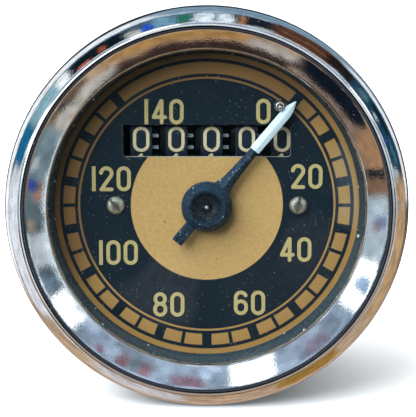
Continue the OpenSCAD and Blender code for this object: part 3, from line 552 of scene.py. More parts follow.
# Dried metal polish and road dirt: matt, dark and crumbly
dried_polish = make_finish("polish_residue_dried", ["10141A", "262A33"], 0.3, (0.7, 0.9), relief_mm=0.02)

# %% Bezel
BEZEL_R, HEM_R, HEM_ROUND, SHEET = 33.5, 31.0, 0.9, 0.6
# Three arcs lead up from the skirt, each with its centre and radius
SHOULDER, BAND, RIDGE = (30.08, 3.55, 3.42), (22.75, -2.6, 12.99), (30.4, 6.511, 1.089)
CONE_TOP, LIP_TOP, LIP_FOOT = (29.94, 7.37), (26.7, 4.8), (26.3, 4.02)
CREASE = [(30.2, 7.53), (30.15, 7.28), (30.03, 7.27)]
outer_face = (
    [(HEM_R, 0.06), (HEM_R + 0.06, 0.0)]
    + arc(BEZEL_R - HEM_ROUND, HEM_ROUND, HEM_ROUND, -90, 0, 8)
    + arc(*SHOULDER, 0, 40, 10)
    + arc(*BAND, 40, 50, 10)[1:]
    + arc(*RIDGE, 50, 88, 8)[1:]
    + [(30.31, 7.59)]
)
cone_face = (
    [(29.98, 7.33), CONE_TOP]
    + bow((29.86, 7.33), (28.4, 6.27), LIP_TOP, 18)[1:]
    + bow(LIP_TOP, (26.4, 4.54), LIP_FOOT, 8)[1:]
)
inner_face = [
    (26.42, 3.9), (27.7, 4.75), (29.9, 6.7), (30.4, 6.95), (32.0, 6.4),
    (32.75, 5.2), (32.9, 3.9), (32.9, 0.62), (HEM_R, SHEET),
]
bezel_section = outer_face + CREASE + cone_face + inner_face
crease_from, crease_to = len(outer_face) - 1, len(outer_face) + len(CREASE) - 1


def in_crease(index):
    return 1 if crease_from <= index % len(bezel_section) <= crease_to else 0


bezel_skin = turned(bezel_section, 240)
bezel = keep_piece(
    "bezel_ring", bezel_skin, [chromium_plate, dried_polish], "housing", 28, in_crease)
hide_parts("bezel")

# %% [markdown]
# ## Glass
# The lens is pressed soda-lime glass: a flat rim and a shallow dome. It is made solid, with
# a front and a back, so that it bends and mirrors light as glass does. Solid glass would
# also throw a heavy shadow on the dial in a path tracer, so its finish lets lamp light
# straight through, the usual way to show a window.

# %% Glass finish
SMEAR_MM = 9.0
glass_finish = bpy.data.materials.new("soda_lime_glass_pressed")
glass_finish.use_nodes = True
glass_tree = glass_finish.node_tree
glass_shader = glass_tree.nodes["Principled BSDF"]
# Soda-lime glass has an index of 1.52 and a trace of green; wiping leaves faint smears
for socket, value in {"IOR": 1.52, "Transmission Weight": 1.0, "Base Color": linear("F4FAF8")}.items():
    glass_shader.inputs[socket].default_value = value
smear_place = add_node(glass_tree, "TexCoord").outputs["Object"]
smear = feed(glass_tree, "TexNoise", {"Vector": smear_place, "Scale": 1 / (SMEAR_MM * MM), "Detail": 5.0})
smear_shine = feed(glass_tree, "MapRange", {
    "Value": smear, "From Min": 0.45, "From Max": 0.75, "To Min": 0.0, "To Max": 0.02})
glass_tree.links.new(smear_shine, glass_shader.inputs["Roughness"])
lamp_rays = add_node(glass_tree, "LightPath").outputs["Is Shadow Ray"]
clear = feed(glass_tree, "BsdfTransparent")
lens_mix = feed(glass_tree, "MixShader", {0: lamp_rays, 1: glass_shader.outputs[0], 2: clear})
glass_tree.links.new(lens_mix, glass_tree.nodes["Material Output"].inputs["Surface"])
print("finish:", glass_finish.name)

# %% Glass
GLASS_R, RIM_BACK, RIM_FRONT, DOME_R, DOME_RISE = 31.2, 2.0, 3.8, 26.0, 2.2
GLASS_EDGE, GLASS_STEPS = 0.15, 180
sphere_r = (DOME_R ** 2 + DOME_RISE ** 2) / (2 * DOME_RISE)
dome_half = math.degrees(math.asin(DOME_R / sphere_r))


def dome_arc(top, start, end):
    sweep_out = arc(0, top - sphere_r, sphere_r, 90 - start, 90 - end, 18)
    return [(max(AXIS_GAP, r), z) for r, z in sweep_out]


glass_section = (
    dome_arc(RIM_FRONT + DOME_RISE, 0, dome_half)
    + [(DOME_R + 0.4, RIM_FRONT), (GLASS_R - GLASS_EDGE, RIM_FRONT), (GLASS_R, RIM_FRONT - GLASS_EDGE)]
    + [(GLASS_R, RIM_BACK + GLASS_EDGE), (GLASS_R - GLASS_EDGE, RIM_BACK)]
    + dome_arc(RIM_BACK + DOME_RISE, dome_half, 0)
)
points, faces = turned(glass_section, GLASS_STEPS, closed=False)
front_hole = [i * len(glass_section) for i in range(GLASS_STEPS)]
back_hole = [i + len(glass_section) - 1 for i in front_hole]
faces += [tuple(front_hole), tuple(reversed(back_hole))]
lens = keep_piece("glass_lens", (points, faces), [glass_finish], "housing", 30)
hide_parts("glass")

# %% [markdown]
# ## Dial ring
# A black ring stands on the edge of the dial and hides the gap under the glass. It is
# lacquered sheet, so it is dark with a soft shine. Its inner face leans back like a funnel:
# an upright wall would only mirror the dial, while a leaning one picks up the ceiling at the
# bottom, as in the picture. A short lathe section is all that it needs.

# %% Dial ring
# Nitro lacquer on steel: black with a cool satin sheen
black_lacquer = make_finish(
    "steel_black_lacquer_satin", ["1E292F", "27343B"], 0.4, (0.16, 0.26), relief_mm=0.003,
    dust_mm=1.1, dust_reach=0.25, Specular_IOR_Level=0.9)
DIAL_FACE = -0.6
RING_FOOT_R, RING_R, RING_TOP = 25.5, 29.0, 2.0
ring_section = (
    [(RING_FOOT_R, DIAL_FACE), (RING_R, DIAL_FACE), (RING_R, RING_TOP - 0.1), (RING_R - 0.1, RING_TOP)]
    + bow((28.1, RING_TOP), (26.3, 0.5), (25.56, -0.42), 12)
    + [(RING_FOOT_R, -0.5)]
)
dial_ring = keep_piece(
    "dial_ring_lacquered", turned(ring_section, 200), [black_lacquer], "housing")
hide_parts("dial_ring")

# %% [markdown]
# ## Printing the dial
# The dial is a metal disc in gold lacquer, screen printed in black, with cream figures on
# top. An image would be the quick way. Real ink is a thin film with an edge, so here each
# colour is a thin sheet: shapes are laid down in order, inked or bare, and a triangulator
# sorts out which areas end up inked. The same tool later prints the counter's wheels and
# cuts flat terminals.

# %% Ink sheets
INSIDE_ONLY, SAME_POINT = 1, 1e-5  # what the triangulator keeps, and what it merges


def circle(r, count=200, cx=0.0, cy=0.0):
    return arc(cx, cy, r, 0, 360 * (count - 1) / count, count - 1)


def rounded_box(width, tall, r, cx=0.0, cy=0.0):
    corners = [(1, 1, 0), (-1, 1, 90), (-1, -1, 180), (1, -1, 270)]
    return [p for sx, sy, start in corners
            for p in arc(cx + sx * (width / 2 - r), cy + sy * (tall / 2 - r), r, start, start + 90, 6)]


def ink_sheet(shapes, low, high, place=None, rules=()):
    """Lay down shapes of (outline, inked) in order; the inked area becomes a thin closed sheet."""
    place = place or (lambda u, v, h: (u, v, h))
    corners, loops = [], []
    for outline, _ in shapes:
        area = sum(p[0] * q[1] - q[0] * p[1] for p, q in zip(outline, outline[1:] + outline[:1]))
        loops.append(list(range(len(corners), len(corners) + len(outline))))
        corners += [Vector(p) for p in (outline if area > 0 else outline[::-1])]
    ruled = [(len(corners) + 2 * i, len(corners) + 2 * i + 1) for i in range(len(rules))]
    corners += [Vector(p) for rule in rules for p in rule]
    flat, _, tiles, _, _, owners = delaunay_2d_cdt(corners, ruled, loops, INSIDE_ONLY, SAME_POINT)
    inked = [tile for tile, owner in zip(tiles, owners) if owner and shapes[max(owner)][1]]
    used = sorted({i for tile in inked for i in tile})
    new = {old: i for i, old in enumerate(used)}
    count = len(used)
    points = [place(*flat[i], high) for i in used] + [place(*flat[i], low) for i in used]
    faces = [tuple(new[i] for i in tile) for tile in inked]
    sides = {(tile[i], tile[(i + 1) % 3]) for tile in inked for i in range(3)}
    walls = [(a, b) for a, b in sides if (b, a) not in sides]
    faces += [tuple(new[i] + count for i in reversed(tile)) for tile in inked]
    faces += [(new[b], new[a], new[a] + count, new[b] + count) for a, b in sorted(walls)]
    return points, faces


print("faces of a printed ring:", len(ink_sheet([(circle(5), True), (circle(4), False)], 0, 0.02)[1]))

# %% [markdown]
# ## Black print
# Read from the rim inwards: black edge, gold ring, black line, a ring of gold cells between
# black marks, black line, thin gold line, black field, gold disc round the spindle. Marks
# stand every ten degrees, two degrees for each unit, and every second one is wide. The top
# arc is left as one long bare cell.

# %% Black print
# Screen ink: a flat bluish black, fine grain from the mesh, light dust
black_ink = make_finish(
    "screen_ink_black", ["0B161E", "12202A"], 0.25, (0.42, 0.58), relief_mm=0.002,
    dust_mm=0.38, dust_reach=0.24, dust_tone="868E92", Specular_IOR_Level=0.3)
PRINT_RADII = [28.7, 25.7, 24.58, 24.0, 22.05, 21.53, 21.18, 12.72]  # black and bare in turn
ZERO_AT, FULL_AT, MARK_STEP = 40, 320, 10
MARK_FOOT, MARK_TOP, WIDE_MARK, NARROW_MARK = 21.85, 24.3, 1.58, 0.58
WINDOW_W, WINDOW_H, WINDOW_Y, WINDOW_ROUND = 27.9, 5.4, 10.84, 0.5
SCREW_X, SCREW_HOLE_R, PIN_AT, PIN_HOLE_R = 15.3, 1.05, (12.06, 16.70), 0.6
PRINT_GAP, INK_T, INK_SUNK = 0.015, 0.025, 0.01


def mark(angle, inner, outer, width):
    side_x, side_y = clock(angle + 90, width / 2)
    ends = [clock(angle, inner), clock(angle, outer)]
    turns = ((-1, 1), (1, -1))
    return [(x + s * side_x, y + s * side_y) for (x, y), signs in zip(ends, turns) for s in signs]


print_order = [(circle(r), k % 2 == 0) for k, r in enumerate(PRINT_RADII)]
for k, angle in enumerate(range(ZERO_AT, FULL_AT + 1, MARK_STEP)):
    print_order.append((mark(angle, MARK_FOOT, MARK_TOP, WIDE_MARK if k % 2 == 0 else NARROW_MARK), True))
bare_window = rounded_box(WINDOW_W + 2 * PRINT_GAP, WINDOW_H + 2 * PRINT_GAP, WINDOW_ROUND, 0.0, WINDOW_Y)
print_order.append((bare_window, False))
print_order += [(circle(SCREW_HOLE_R, 32, side * SCREW_X), False) for side in (-1, 1)]
print_order.append((circle(PIN_HOLE_R, 24, *PIN_AT), False))
black_sheet = ink_sheet(print_order, DIAL_FACE - INK_SUNK, DIAL_FACE + INK_T)
keep_piece("dial_print_black", black_sheet, [black_ink], "housing")

# %% [markdown]
# ## Figures
# The figures are drawn with a round brush of one width, as lettering stencils do: ovals,
# arcs and straight strokes. A font would bring its own shapes, so each figure is drawn
# from its centre lines, which a brush function then thickens.

# %% Brush
def brush(path, width):
    """Outline of a stroke of even width with round ends."""
    half = width / 2
    left, right = [], []
    for i, (x, y) in enumerate(path):
        before, after = path[max(0, i - 1)], path[min(len(path) - 1, i + 1)]
        along = Vector((after[0] - before[0], after[1] - before[1])).normalized()
        left.append((x - along.y * half, y + along.x * half))
        right.append((x + along.y * half, y - along.x * half))
    ends = []
    for tip, inner in ((path[-1], path[-2]), (path[0], path[1])):
        heading = math.degrees(math.atan2(tip[1] - inner[1], tip[0] - inner[0]))
        ends.append(arc(tip[0], tip[1], half, heading - 90, heading + 90, 8)[1:-1])
    return right + ends[0] + left[::-1] + ends[1]


def oval(cx, cy, half_w, half_h):
    """Upright oval with straight sides."""
    straight = half_h - half_w
    return arc(cx, cy + straight, half_w, 0, 180, 18) + arc(cx, cy - straight, half_w, 180, 360, 18)


def sweep(cx, cy, rx, ry, start, end):
    turns = [math.radians(start + (end - start) * i / 20) for i in range(21)]
    return [(cx + rx * math.cos(t), cy + ry * math.sin(t)) for t in turns]


print("points round a short stroke:", len(brush([(0, 0), (0, 4)], 0.6)))

# %% Figures
def figure(digit, width, tall, stroke, flag=False):
    """Shapes of one figure, centred on the origin; the wheels' one has a flag."""
    a, b, s = (width - stroke) / 2, (tall - stroke) / 2, stroke / 2
    rings, lines = [], []
    if digit == 0:
        rings = [(0, 0, a, b)]
    elif digit == 1:
        lines = [[(0, b), (0, -b)], [(0, b), (-0.75 * a, b - 0.8 * a)]] if flag else []
    elif digit == 2:
        lines = [sweep(0, b - a, a, a, 175, -28) + [(-0.96 * a, -b)], [(-0.96 * a, -b), (a, -b)]]
    elif digit == 3:
        lines = [sweep(0, 0.5 * b, 0.92 * a, 0.5 * b, 160, -90), sweep(0, -0.5 * b, a, 0.5 * b, 90, -160)]
    elif digit == 4:
        bar = [(-a, -0.5 * b), (1.12 * a, -0.5 * b)]
        lines = [[(0.40 * a, b), bar[0]], bar, [(0.5 * a, b), (0.5 * a, -b)]]
    elif digit == 5:
        corner = (-0.75 * a, b)
        bowl = sweep(0, -0.42 * b, a, 0.58 * b, 145, -150)
        lines = [[(0.8 * a, b), corner], [corner, (-0.85 * a, 0.06 * b)], bowl]
    elif digit == 7:
        lines = [[(-a, b), (a, b)], [(a, b), (-0.3 * a, -b)]]
    elif digit == 8:
        rings = [(0, -0.47 * b, a, 0.53 * b), (0, 0.53 * b, 0.92 * a, 0.47 * b)]
    else:
        rings = [(0, -0.42 * b, a, 0.58 * b)]
        lines = [[(-a, -0.42 * b), (-a, b - a)] + sweep(0, b - a, a, a, 180, 25)]
    shapes = [(oval(x, y, w + s, h + s), True) for x, y, w, h in rings]
    shapes += [(oval(x, y, w - s, h - s), False) for x, y, w, h in rings]
    shapes += [(brush(line, stroke), True) for line in lines]
    if digit == 1 and not flag:
        shapes = [([(-s, -b - s), (s, -b - s), (s, b + s), (-s, b + s)], True)]
    if digit == 9:
        shapes = [([(-x, -y) for x, y in outline], inked) for outline, inked in shapes]
    return shapes


def number(text, cx, cy, width, tall, stroke, gap):
    """Shapes of a whole number, centred on a point."""
    widths = [stroke * 1.25 if c == "1" else width for c in text]
    x = cx - (sum(widths) + gap * (len(text) - 1)) / 2
    shapes = []
    for c, own in zip(text, widths):
        for outline, inked in figure(int(c), width, tall, stroke):
            shapes.append(([(u + x + own / 2, v + cy) for u, v in outline], inked))
        x += own + gap
    return shapes


print("shapes in an eight:", len(figure(8, 2.4, 4.2, 0.6)))

# %% Dial figures
# Cream oil ink, printed thick: pale khaki with a soft edge and little shine
cream_ink = make_finish(
    "screen_ink_cream", ["AE9F6C", "B9AA76"], 0.35, (0.5, 0.65), relief_mm=0.006,
    dust_mm=1.5, dust_reach=0.2, dust_tone="8E8965")
SCALE = {
    "0": (9.39, 15.76), "20": (16.67, 4.86), "40": (14.92, -7.55), "60": (7.2, -16.7),
    "80": (-6.42, -16.98), "100": (-14.88, -8.07), "120": (-15.96, 4.46), "140": (-7.13, 15.7),
}
SCALE_FIGURE = (2.38, 4.2, 0.62, 0.52)  # width, height, stroke and gap
CREAM_T = 0.03
scale_shapes = [shape for text, at in SCALE.items() for shape in number(text, *at, *SCALE_FIGURE)]
cream_sheet = ink_sheet(scale_shapes, DIAL_FACE + INK_SUNK, DIAL_FACE + INK_T + CREAM_T)
keep_piece("dial_figures", cream_sheet, [cream_ink], "housing")

# %% [markdown]
# ## Counter wheels
# Five moulded wheels turn behind the window. Their rims are black with cream figures, and
# the tips of the driving teeth beside each rim are painted pale, a painted highlight that gives
# the small bright bars between the figures. The figures are printed flat by the ink tool, ruled
# across in narrow bands, and wrapped round the rim, so they ride on their wheel and turn with it.

# %% Counter figures
# Pad printed enamel on moulded wheels: warm cream, a little yellowed
cream_enamel = make_finish(
    "pad_print_enamel_cream", ["CDBD98", "DACBA8"], 0.3, (0.4, 0.55), relief_mm=0.006,
    dust_mm=0.9, dust_reach=0.25, dust_tone="8A7C5C")
DRUM_R, DRUM_Y, DRUM_Z, DRUM_PITCH, DRUM_MID_X = 7.3, 10.9, -9.2, 5.88, 0.8
WHEELS = ["units_wheel", "tens_wheel", "hundreds_wheel", "thousands_wheel", "ten_thousands_wheel"]
WHEEL_FIGURE = (2.75, 4.3, 0.54)  # width, height and stroke
ENAMEL_SUNK, ENAMEL_T = 0.05, 0.04
band_heights = [-2.4 + 0.3 * i for i in range(17)]
bands = [((-2.0, v), (2.0, v)) for v in band_heights]


def round_rim(centre_x, digit):
    """The way from a flat figure to its place on the rim of a wheel."""
    def on_rim(u, v, lift):
        turn = v / DRUM_R - math.radians(36 * digit)
        r = DRUM_R + lift
        return centre_x + u, DRUM_Y + r * math.sin(turn), DRUM_Z + r * math.cos(turn)

    return on_rim


for index, wheel in enumerate(WHEELS):
    centre_x = DRUM_MID_X + (2 - index) * DRUM_PITCH
    figures = []
    for digit in range(10):
        shapes = figure(digit, *WHEEL_FIGURE, flag=True)
        figures.append(ink_sheet(shapes, -ENAMEL_SUNK, ENAMEL_T, round_rim(centre_x, digit), bands))
    keep_piece("counter_figures_%d" % (index + 1), joined(figures), [cream_enamel], wheel)

# %% [markdown]
# ## Pointer
# The pointer is a light pressing: a dished hub, a dark arm with a roof-shaped section, a
# square tail and a blade painted white. Arm and blade are lofted through a few stations
# with a soft ridge, so that one side is lighter than the other, as in the picture. The hub
# comes off the lathe.

# %% Pointer finishes
def colour_of(finish):
    """A finish's tree, its colour input, and the output that feeds it."""
    colour = finish.node_tree.nodes["Principled BSDF"].inputs["Base Color"]
    return finish.node_tree, colour, colour.links[0].from_socket


def on_dial(tree):
    """The place on the dial's plane, and its distance from the spindle."""
    place = add_node(tree, "TexCoord").outputs["Object"]
    flat = feed(tree, "VectorMath", {0: place, 1: (1, 0, 1)}, operation="MULTIPLY")
    return flat, feed(tree, "VectorMath", {0: flat}, operation="LENGTH")


# Crinkled black paint: matt, gritty, with dust held in the grain
crinkle_black = make_finish(
    "crinkle_paint_black", ["0B1824", "21374A"], 0.3, (0.2, 0.42), relief_mm=0.07,
    dust_mm=0.55, dust_reach=0.34, dust_tone="9FB0BA")
# In the hub's dish the paint is darker: painted shade in the hollow under the rim
DISH_R, DISH_EDGE_R, DISH_SHADE_SHARE = 2.2, 3.0, 0.85
paint_tree, paint_colour, crinkle_tone = colour_of(crinkle_black)
_, from_hub = on_dial(paint_tree)
depth = feed(paint_tree, "MapRange", {
    "Value": from_hub, "From Min": DISH_R * MM, "From Max": DISH_EDGE_R * MM,
    "To Min": DISH_SHADE_SHARE, "To Max": 0.0})
paint_with_dish_shade = feed(paint_tree, "Mix", {
    SHARE: depth, UNDER: crinkle_tone, OVER: linear("04080E")}, data_type="RGBA")
paint_tree.links.new(paint_with_dish_shade, paint_colour)
# Brushed white enamel: cool white, faint brush marks and small stains
white_enamel = make_finish(
    "brushed_enamel_white", ["CCE1EE", "DFF0FA"], 0.9, (0.35, 0.5), relief_mm=0.004,
    dust_mm=1.0, dust_reach=0.2, dust_tone="8B9AA8")

# %% Lofting along the pointer
POINTER_Z = 0.7


def on_pointer(side, along, lift):
    turn = math.radians(ZERO_AT)
    return (
        side * math.cos(turn) + along * math.sin(turn),
        along * math.cos(turn) - side * math.sin(turn),
        POINTER_Z + lift,
    )


def roof(half, edge, ridge):
    """Section of arm and blade, from the lower left corner round to the upper left."""
    soft = min(0.1, half * 0.3)
    slope = (ridge - edge) / half
    return [
        (-half + 0.04, 0), (half - 0.04, 0), (half, 0.05), (half, edge - 0.06), (half - 0.06, edge + 0.02),
        (soft, ridge - slope * soft), (0, ridge - slope * soft * 0.45), (-soft, ridge - slope * soft),
        (-half + 0.06, edge + 0.02), (-half, edge - 0.06), (-half, 0.05),
    ]


def lofted(stations):
    """Skin over sections along the pointer; each station is (distance, section)."""
    count = len(stations[0][1])
    points = [on_pointer(side, along, lift) for along, section in stations for side, lift in section]
    faces = [
        (i * count + k, i * count + (k + 1) % count, (i + 1) * count + (k + 1) % count, (i + 1) * count + k)
        for i in range(len(stations) - 1) for k in range(count)
    ]
    last = (len(stations) - 1) * count
    return points, faces + [tuple(range(count))[::-1], tuple(range(last, last + count))]


print("points of one roof section:", len(roof(0.9, 0.5, 0.9)))

# %% Arm, tail and blade
ARM_EDGE, ARM_RIDGE = 0.42, 0.95
BLADE_EDGE, BLADE_RIDGE = 0.58, 0.9  # shares of each station's height
arm_halves = [
    (3.3, 1.72), (3.9, 1.6), (4.5, 1.38), (5.1, 1.2), (5.9, 1.08),
    (7.5, 0.97), (10.0, 0.85), (12.2, 0.76), (12.34, 0.74),
]
arm_skin = lofted([(at, roof(half, ARM_EDGE, ARM_RIDGE)) for at, half in arm_halves])
tail_section = [
    (-0.9, 0), (0.9, 0), (0.95, 0.06), (0.95, 0.78), (0.82, 0.9), (-0.82, 0.9), (-0.95, 0.78), (-0.95, 0.06),
]
tail_end = [(0.9 * side, 0.04 + 0.9 * lift) for side, lift in tail_section]
tail_skin = lofted([(-7.8, tail_end), (-7.72, tail_section), (-3.2, tail_section)])
arm_and_tail = joined([arm_skin, tail_skin])
keep_piece("pointer_arm", arm_and_tail, [crinkle_black], "pointer_spindle", 40)
# Distance from the spindle, half width and height
blade_stations = [
    (12.3, 0.84, 0.92), (12.42, 0.88, 0.96), (13.0, 0.89, 0.97), (19.8, 0.89, 0.97), (20.4, 0.87, 0.95),
    (21.1, 0.76, 0.86), (21.8, 0.55, 0.74), (22.4, 0.33, 0.6), (22.78, 0.16, 0.5), (22.9, 0.09, 0.44),
]
blade_skin = lofted([
    (at, roof(half, BLADE_EDGE * tall, BLADE_RIDGE * tall)) for at, half, tall in blade_stations])
keep_piece("pointer_blade", blade_skin, [white_enamel], "pointer_spindle", 24)

# %% Hub and spindle end
HUB_R, HUB_ROUND = 4.25, 0.25
hub_section = (
    [(0.4, 0.0), (HUB_R - 0.1, 0.0), (HUB_R, 0.1), (HUB_R, 0.5)]
    + arc(HUB_R - HUB_ROUND, 0.55, HUB_ROUND, 0, 45, 5)
    + arc(3.02, 1.68, 0.22, 45, 110, 5)
    + bow((2.62, 1.86), (1.75, 0.86), (0.95, 0.82), 10)
    + [(0.4, 0.8)]
)
hub_skin = turned([(r, POINTER_Z + z) for r, z in hub_section], 120)
hub = keep_piece("pointer_hub", hub_skin, [crinkle_black], "pointer_spindle", 30)
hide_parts("pointer")

# Burnished steel: rubbed until it is almost a mirror, so a ball end carries a bright spot
burnished_steel = make_finish("steel_burnished", ["C8CACC", "DADCDD"], 0.3, (0.06, 0.15), metallic=1.0)
TIP_R, TIP_FOOT, TIP_SHOULDER = 0.44, 1.6, 1.72
tip_section = (
    [(TIP_R, TIP_FOOT), (TIP_R, TIP_SHOULDER)]
    + arc(0.0, TIP_SHOULDER, TIP_R, 0, 86, 9)
    + [(AXIS_GAP, TIP_SHOULDER + TIP_R), (AXIS_GAP, TIP_FOOT)]
)
keep_piece("spindle_end", turned(tip_section, 32), [burnished_steel], "pointer_spindle")

# %% [markdown]
# ## Screws and stop pin
# Two domed screws hold the dial, and a small turned pin with a ball end stops the pointer at
# zero. They are turned on the lathe, and the slots are cut with a Boolean modifier, as a saw
# would cut them. A narrow bevel then takes the edge off, because real edges always
# catch a little light.

# %% Slotted screws
def saw_slot(piece, centre, angle, width, floor_z, roof_z, reach):
    """Cut a straight slot across a screw head."""
    side = Vector(clock(angle + 90, 1.0))
    along = Vector(clock(angle, 1.0))
    middle = Vector(centre)
    corners = ((-1, -1), (1, -1), (1, 1), (-1, 1))
    base = [middle + along * (reach * s) + side * (width / 2 * t) for s, t in corners]
    block = bmesh.new()
    ends = [[block.verts.new(in_frame(*p, z)) for p in base] for z in (floor_z, roof_z)]
    for ring in ends:
        block.faces.new(ring)
    for i in range(4):
        j = (i + 1) % 4
        block.faces.new((ends[0][i], ends[0][j], ends[1][j], ends[1][i]))
    bmesh.ops.recalc_face_normals(block, faces=block.faces)
    mesh = bpy.data.meshes.new("saw")
    block.to_mesh(mesh)
    block.free()
    saw = bpy.data.objects.new("saw", mesh)
    bpy.context.scene.collection.objects.link(saw)
    cut = piece.modifiers.new("slot", "BOOLEAN")
    cut.object, cut.operation, cut.solver = saw, "DIFFERENCE", "EXACT"
    settled = bpy.context.evaluated_depsgraph_get()
    result = bpy.data.meshes.new_from_object(piece.evaluated_get(settled))
    piece.modifiers.clear()
    print("   slot cut: %d faces to %d" % (len(piece.data.polygons), len(result.polygons)))
    piece.data = result
    bpy.data.objects.remove(saw)


def soften(piece, width, angle=30.0):
    """Take the edge off with a narrow bevel."""
    bevel = piece.modifiers.new("edges", "BEVEL")
    bevel.width, bevel.segments = width * MM, 2
    bevel.limit_method, bevel.angle_limit = "ANGLE", math.radians(angle)


def slotted_screw(name, spots, section, saw, finish, edge):
    """Screws of one size in one piece: turned, slotted at their own angles, and bevelled."""
    skin = joined([turned(section, 48, (x, y)) for x, y, _ in spots])
    piece = keep_piece(name, skin, [finish], "housing", 30)
    for x, y, angle in spots:
        saw_slot(piece, (x, y), angle, *saw)
    soften(piece, edge, 40)
    return piece


# Nickel plated steel, worn: warm grey, satin, with fine scratches across
nickel_plate = make_finish(
    "steel_nickel_plated", ["BDBAB0", "D0CDC4"], 0.35, (0.2, 0.5), metallic=1.0, relief_mm=0.004,
    stretch=(1, 1, 5))

# %% Dial screws
HEAD_R, HEAD_T, SHANK_R, SHANK_END = 1.55, 0.9, 1.0, -4.4
dome = [
    (AXIS_GAP, SHANK_END), (SHANK_R, SHANK_END), (SHANK_R, DIAL_FACE), (HEAD_R - 0.1, DIAL_FACE),
    (HEAD_R, DIAL_FACE + 0.08), (HEAD_R, DIAL_FACE + 0.3),
]
dome += bow((1.52, DIAL_FACE + 0.38), (1.1, DIAL_FACE + HEAD_T), (AXIS_GAP, DIAL_FACE + HEAD_T), 10)
dial_spots = [(-SCREW_X, 0, -40), (SCREW_X, 0, 12)]
dial_saw = (0.45, DIAL_FACE + 0.42, DIAL_FACE + 2, 2.2)  # width, floor, roof and reach
dial_screws = slotted_screw(
    "dial_screws_domed", dial_spots, dome, dial_saw, nickel_plate, edge=0.05)
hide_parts("dial_screws")

# %% Stop pin
PIN_FOOT_R, PIN_COLLAR_R, PIN_NECK_R, PIN_BALL_R = 0.575, 0.925, 0.46, 0.575
pin_section = (
    [(AXIS_GAP, -1.4), (PIN_FOOT_R, -1.4), (PIN_FOOT_R, DIAL_FACE), (PIN_COLLAR_R, DIAL_FACE)]
    + [(PIN_COLLAR_R, -0.36), (0.84, -0.3), (0.84, -0.2), (0.9, -0.14), (0.9, 0.0), (0.82, 0.08), (0.6, 0.1)]
    + [(PIN_NECK_R, 0.2), (PIN_NECK_R, 1.25)]
    + arc(0.0, 1.625, PIN_BALL_R, -38, 88, 10)
)
stop_pin = keep_piece(
    "stop_pin_turned", turned(pin_section, 40, PIN_AT), [burnished_steel], "housing")
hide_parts("stop_pin")

# %% [markdown]
# ## Threads at the back
# The cable's union nut screws on a threaded neck with a hexagon, and a strap is clamped by
# nuts on two studs. A thread is a lathe section that moves along the axis by one pitch for
# each turn, so the lathe's angle-dependent section gives real threads. The hexagon is a
# radius that changes with the angle, and its corners are cut by a cone, as on any bar stock.

# %% Thread sections
def thread(z_from, z_to, crest, depth, pitch, angle, per_turn=9):
    """Points along a threaded stretch for one angle, fading out at both ends."""
    count = round(abs(z_to - z_from) / pitch * per_turn)
    section = []
    for i in range(count + 1):
        z = z_from + (z_to - z_from) * i / count
        fade = min(1.0, abs(z - z_from) / pitch + 0.25, abs(z_to - z) / pitch)
        groove = 0.5 - 0.5 * math.cos(2 * math.pi * (z / pitch) - angle)
        chamfer = max(0.0, 0.6 * pitch - abs(z - z_from)) * 0.8
        section.append((crest - max(depth * fade * groove, chamfer), z))
    return section


# Nickel on brass, rubbed by spanners: pale and satin, warmer where it is worn
nickel_brass = make_finish(
    "brass_nickel_plated", ["A08C62", "B9B2A0", "C6C2B6"], 1.4, (0.22, 0.38), metallic=1.0, relief_mm=0.004)
# Zinc plate, dulled: grey with cloudy patches
zinc_plate = make_finish(
    "steel_zinc_plated", ["9EA09D", "B8BAB5"], 0.9, (0.32, 0.5), metallic=1.0, relief_mm=0.005)

# %% Neck
CASE_BACK, NECK_END, SEAT = -42.0, -56.0, 1.8
HEX_T, HEX_CORNER_R, HEX_EDGE = 3.0, 9.0, 0.15
NECK_THREAD = (6.0, 0.58, 1.0)  # crest radius, depth and pitch
BORE_R, SOCKET_R, SOCKET_FLOOR = 2.55, 4.2, -50.0
hex_face = CASE_BACK - HEX_T
flat_r = HEX_CORNER_R * math.cos(math.radians(30))


def neck_section(angle):
    sector = (math.degrees(angle) + 30) % 60 - 30
    hex_r = flat_r / math.cos(math.radians(30 - abs(sector)))
    cut_z = hex_face + max(0.0, hex_r - flat_r + HEX_EDGE) * 0.6
    return (
        [(4.5, NECK_END)]
        + thread(NECK_END, hex_face - 0.9, *NECK_THREAD, angle)
        + [(5.4, hex_face - 0.6), (5.4, hex_face - 0.1), (flat_r - HEX_EDGE, hex_face), (hex_r, cut_z)]
        + [(hex_r, CASE_BACK - 0.1), (hex_r - 0.1, CASE_BACK), (5.0, CASE_BACK), (5.0, CASE_BACK + SEAT)]
        + [(BORE_R, CASE_BACK + SEAT), (BORE_R, SOCKET_FLOOR), (SOCKET_R, SOCKET_FLOOR)]
        + [(SOCKET_R, NECK_END + 0.3)]
    )


neck_skin = turned(neck_section, 96)
neck = keep_piece("cable_neck_threaded", neck_skin, [nickel_brass], "housing", 38)
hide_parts("cable_neck")

# %% Studs
STUD_X, STUD_END, STUD_R = 18.0, -56.0, 2.0
STUD_THREAD = (STUD_R, 0.36, 0.7)  # crest radius, depth and pitch


def stud_section(angle):
    foot = [(STUD_R, 0), (2.3, 0), (2.3, 0.8), (3.4, 0.8), (3.4, 1.6), (AXIS_GAP, 1.6)]
    return (
        [(AXIS_GAP, STUD_END)]
        + thread(STUD_END, CASE_BACK - 0.3, *STUD_THREAD, angle, 8)
        + [(r, CASE_BACK + z) for r, z in foot]
    )


stud_pair = joined([turned(stud_section, 36, (side * STUD_X, 0.0)) for side in (-1, 1)])
studs = keep_piece("mounting_studs_threaded", stud_pair, [zinc_plate], "housing", 38)
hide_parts("mounting_studs")

# %% [markdown]
# ## Rear screws and lamp holder
# Three cheese-head screws come through the back, and a small push-in lamp holder lights the
# dial from behind: a drawn sleeve with a rolled lip, a brown insulator and a brass tab for
# the wire. Lathe, saw and ink tool make them all.

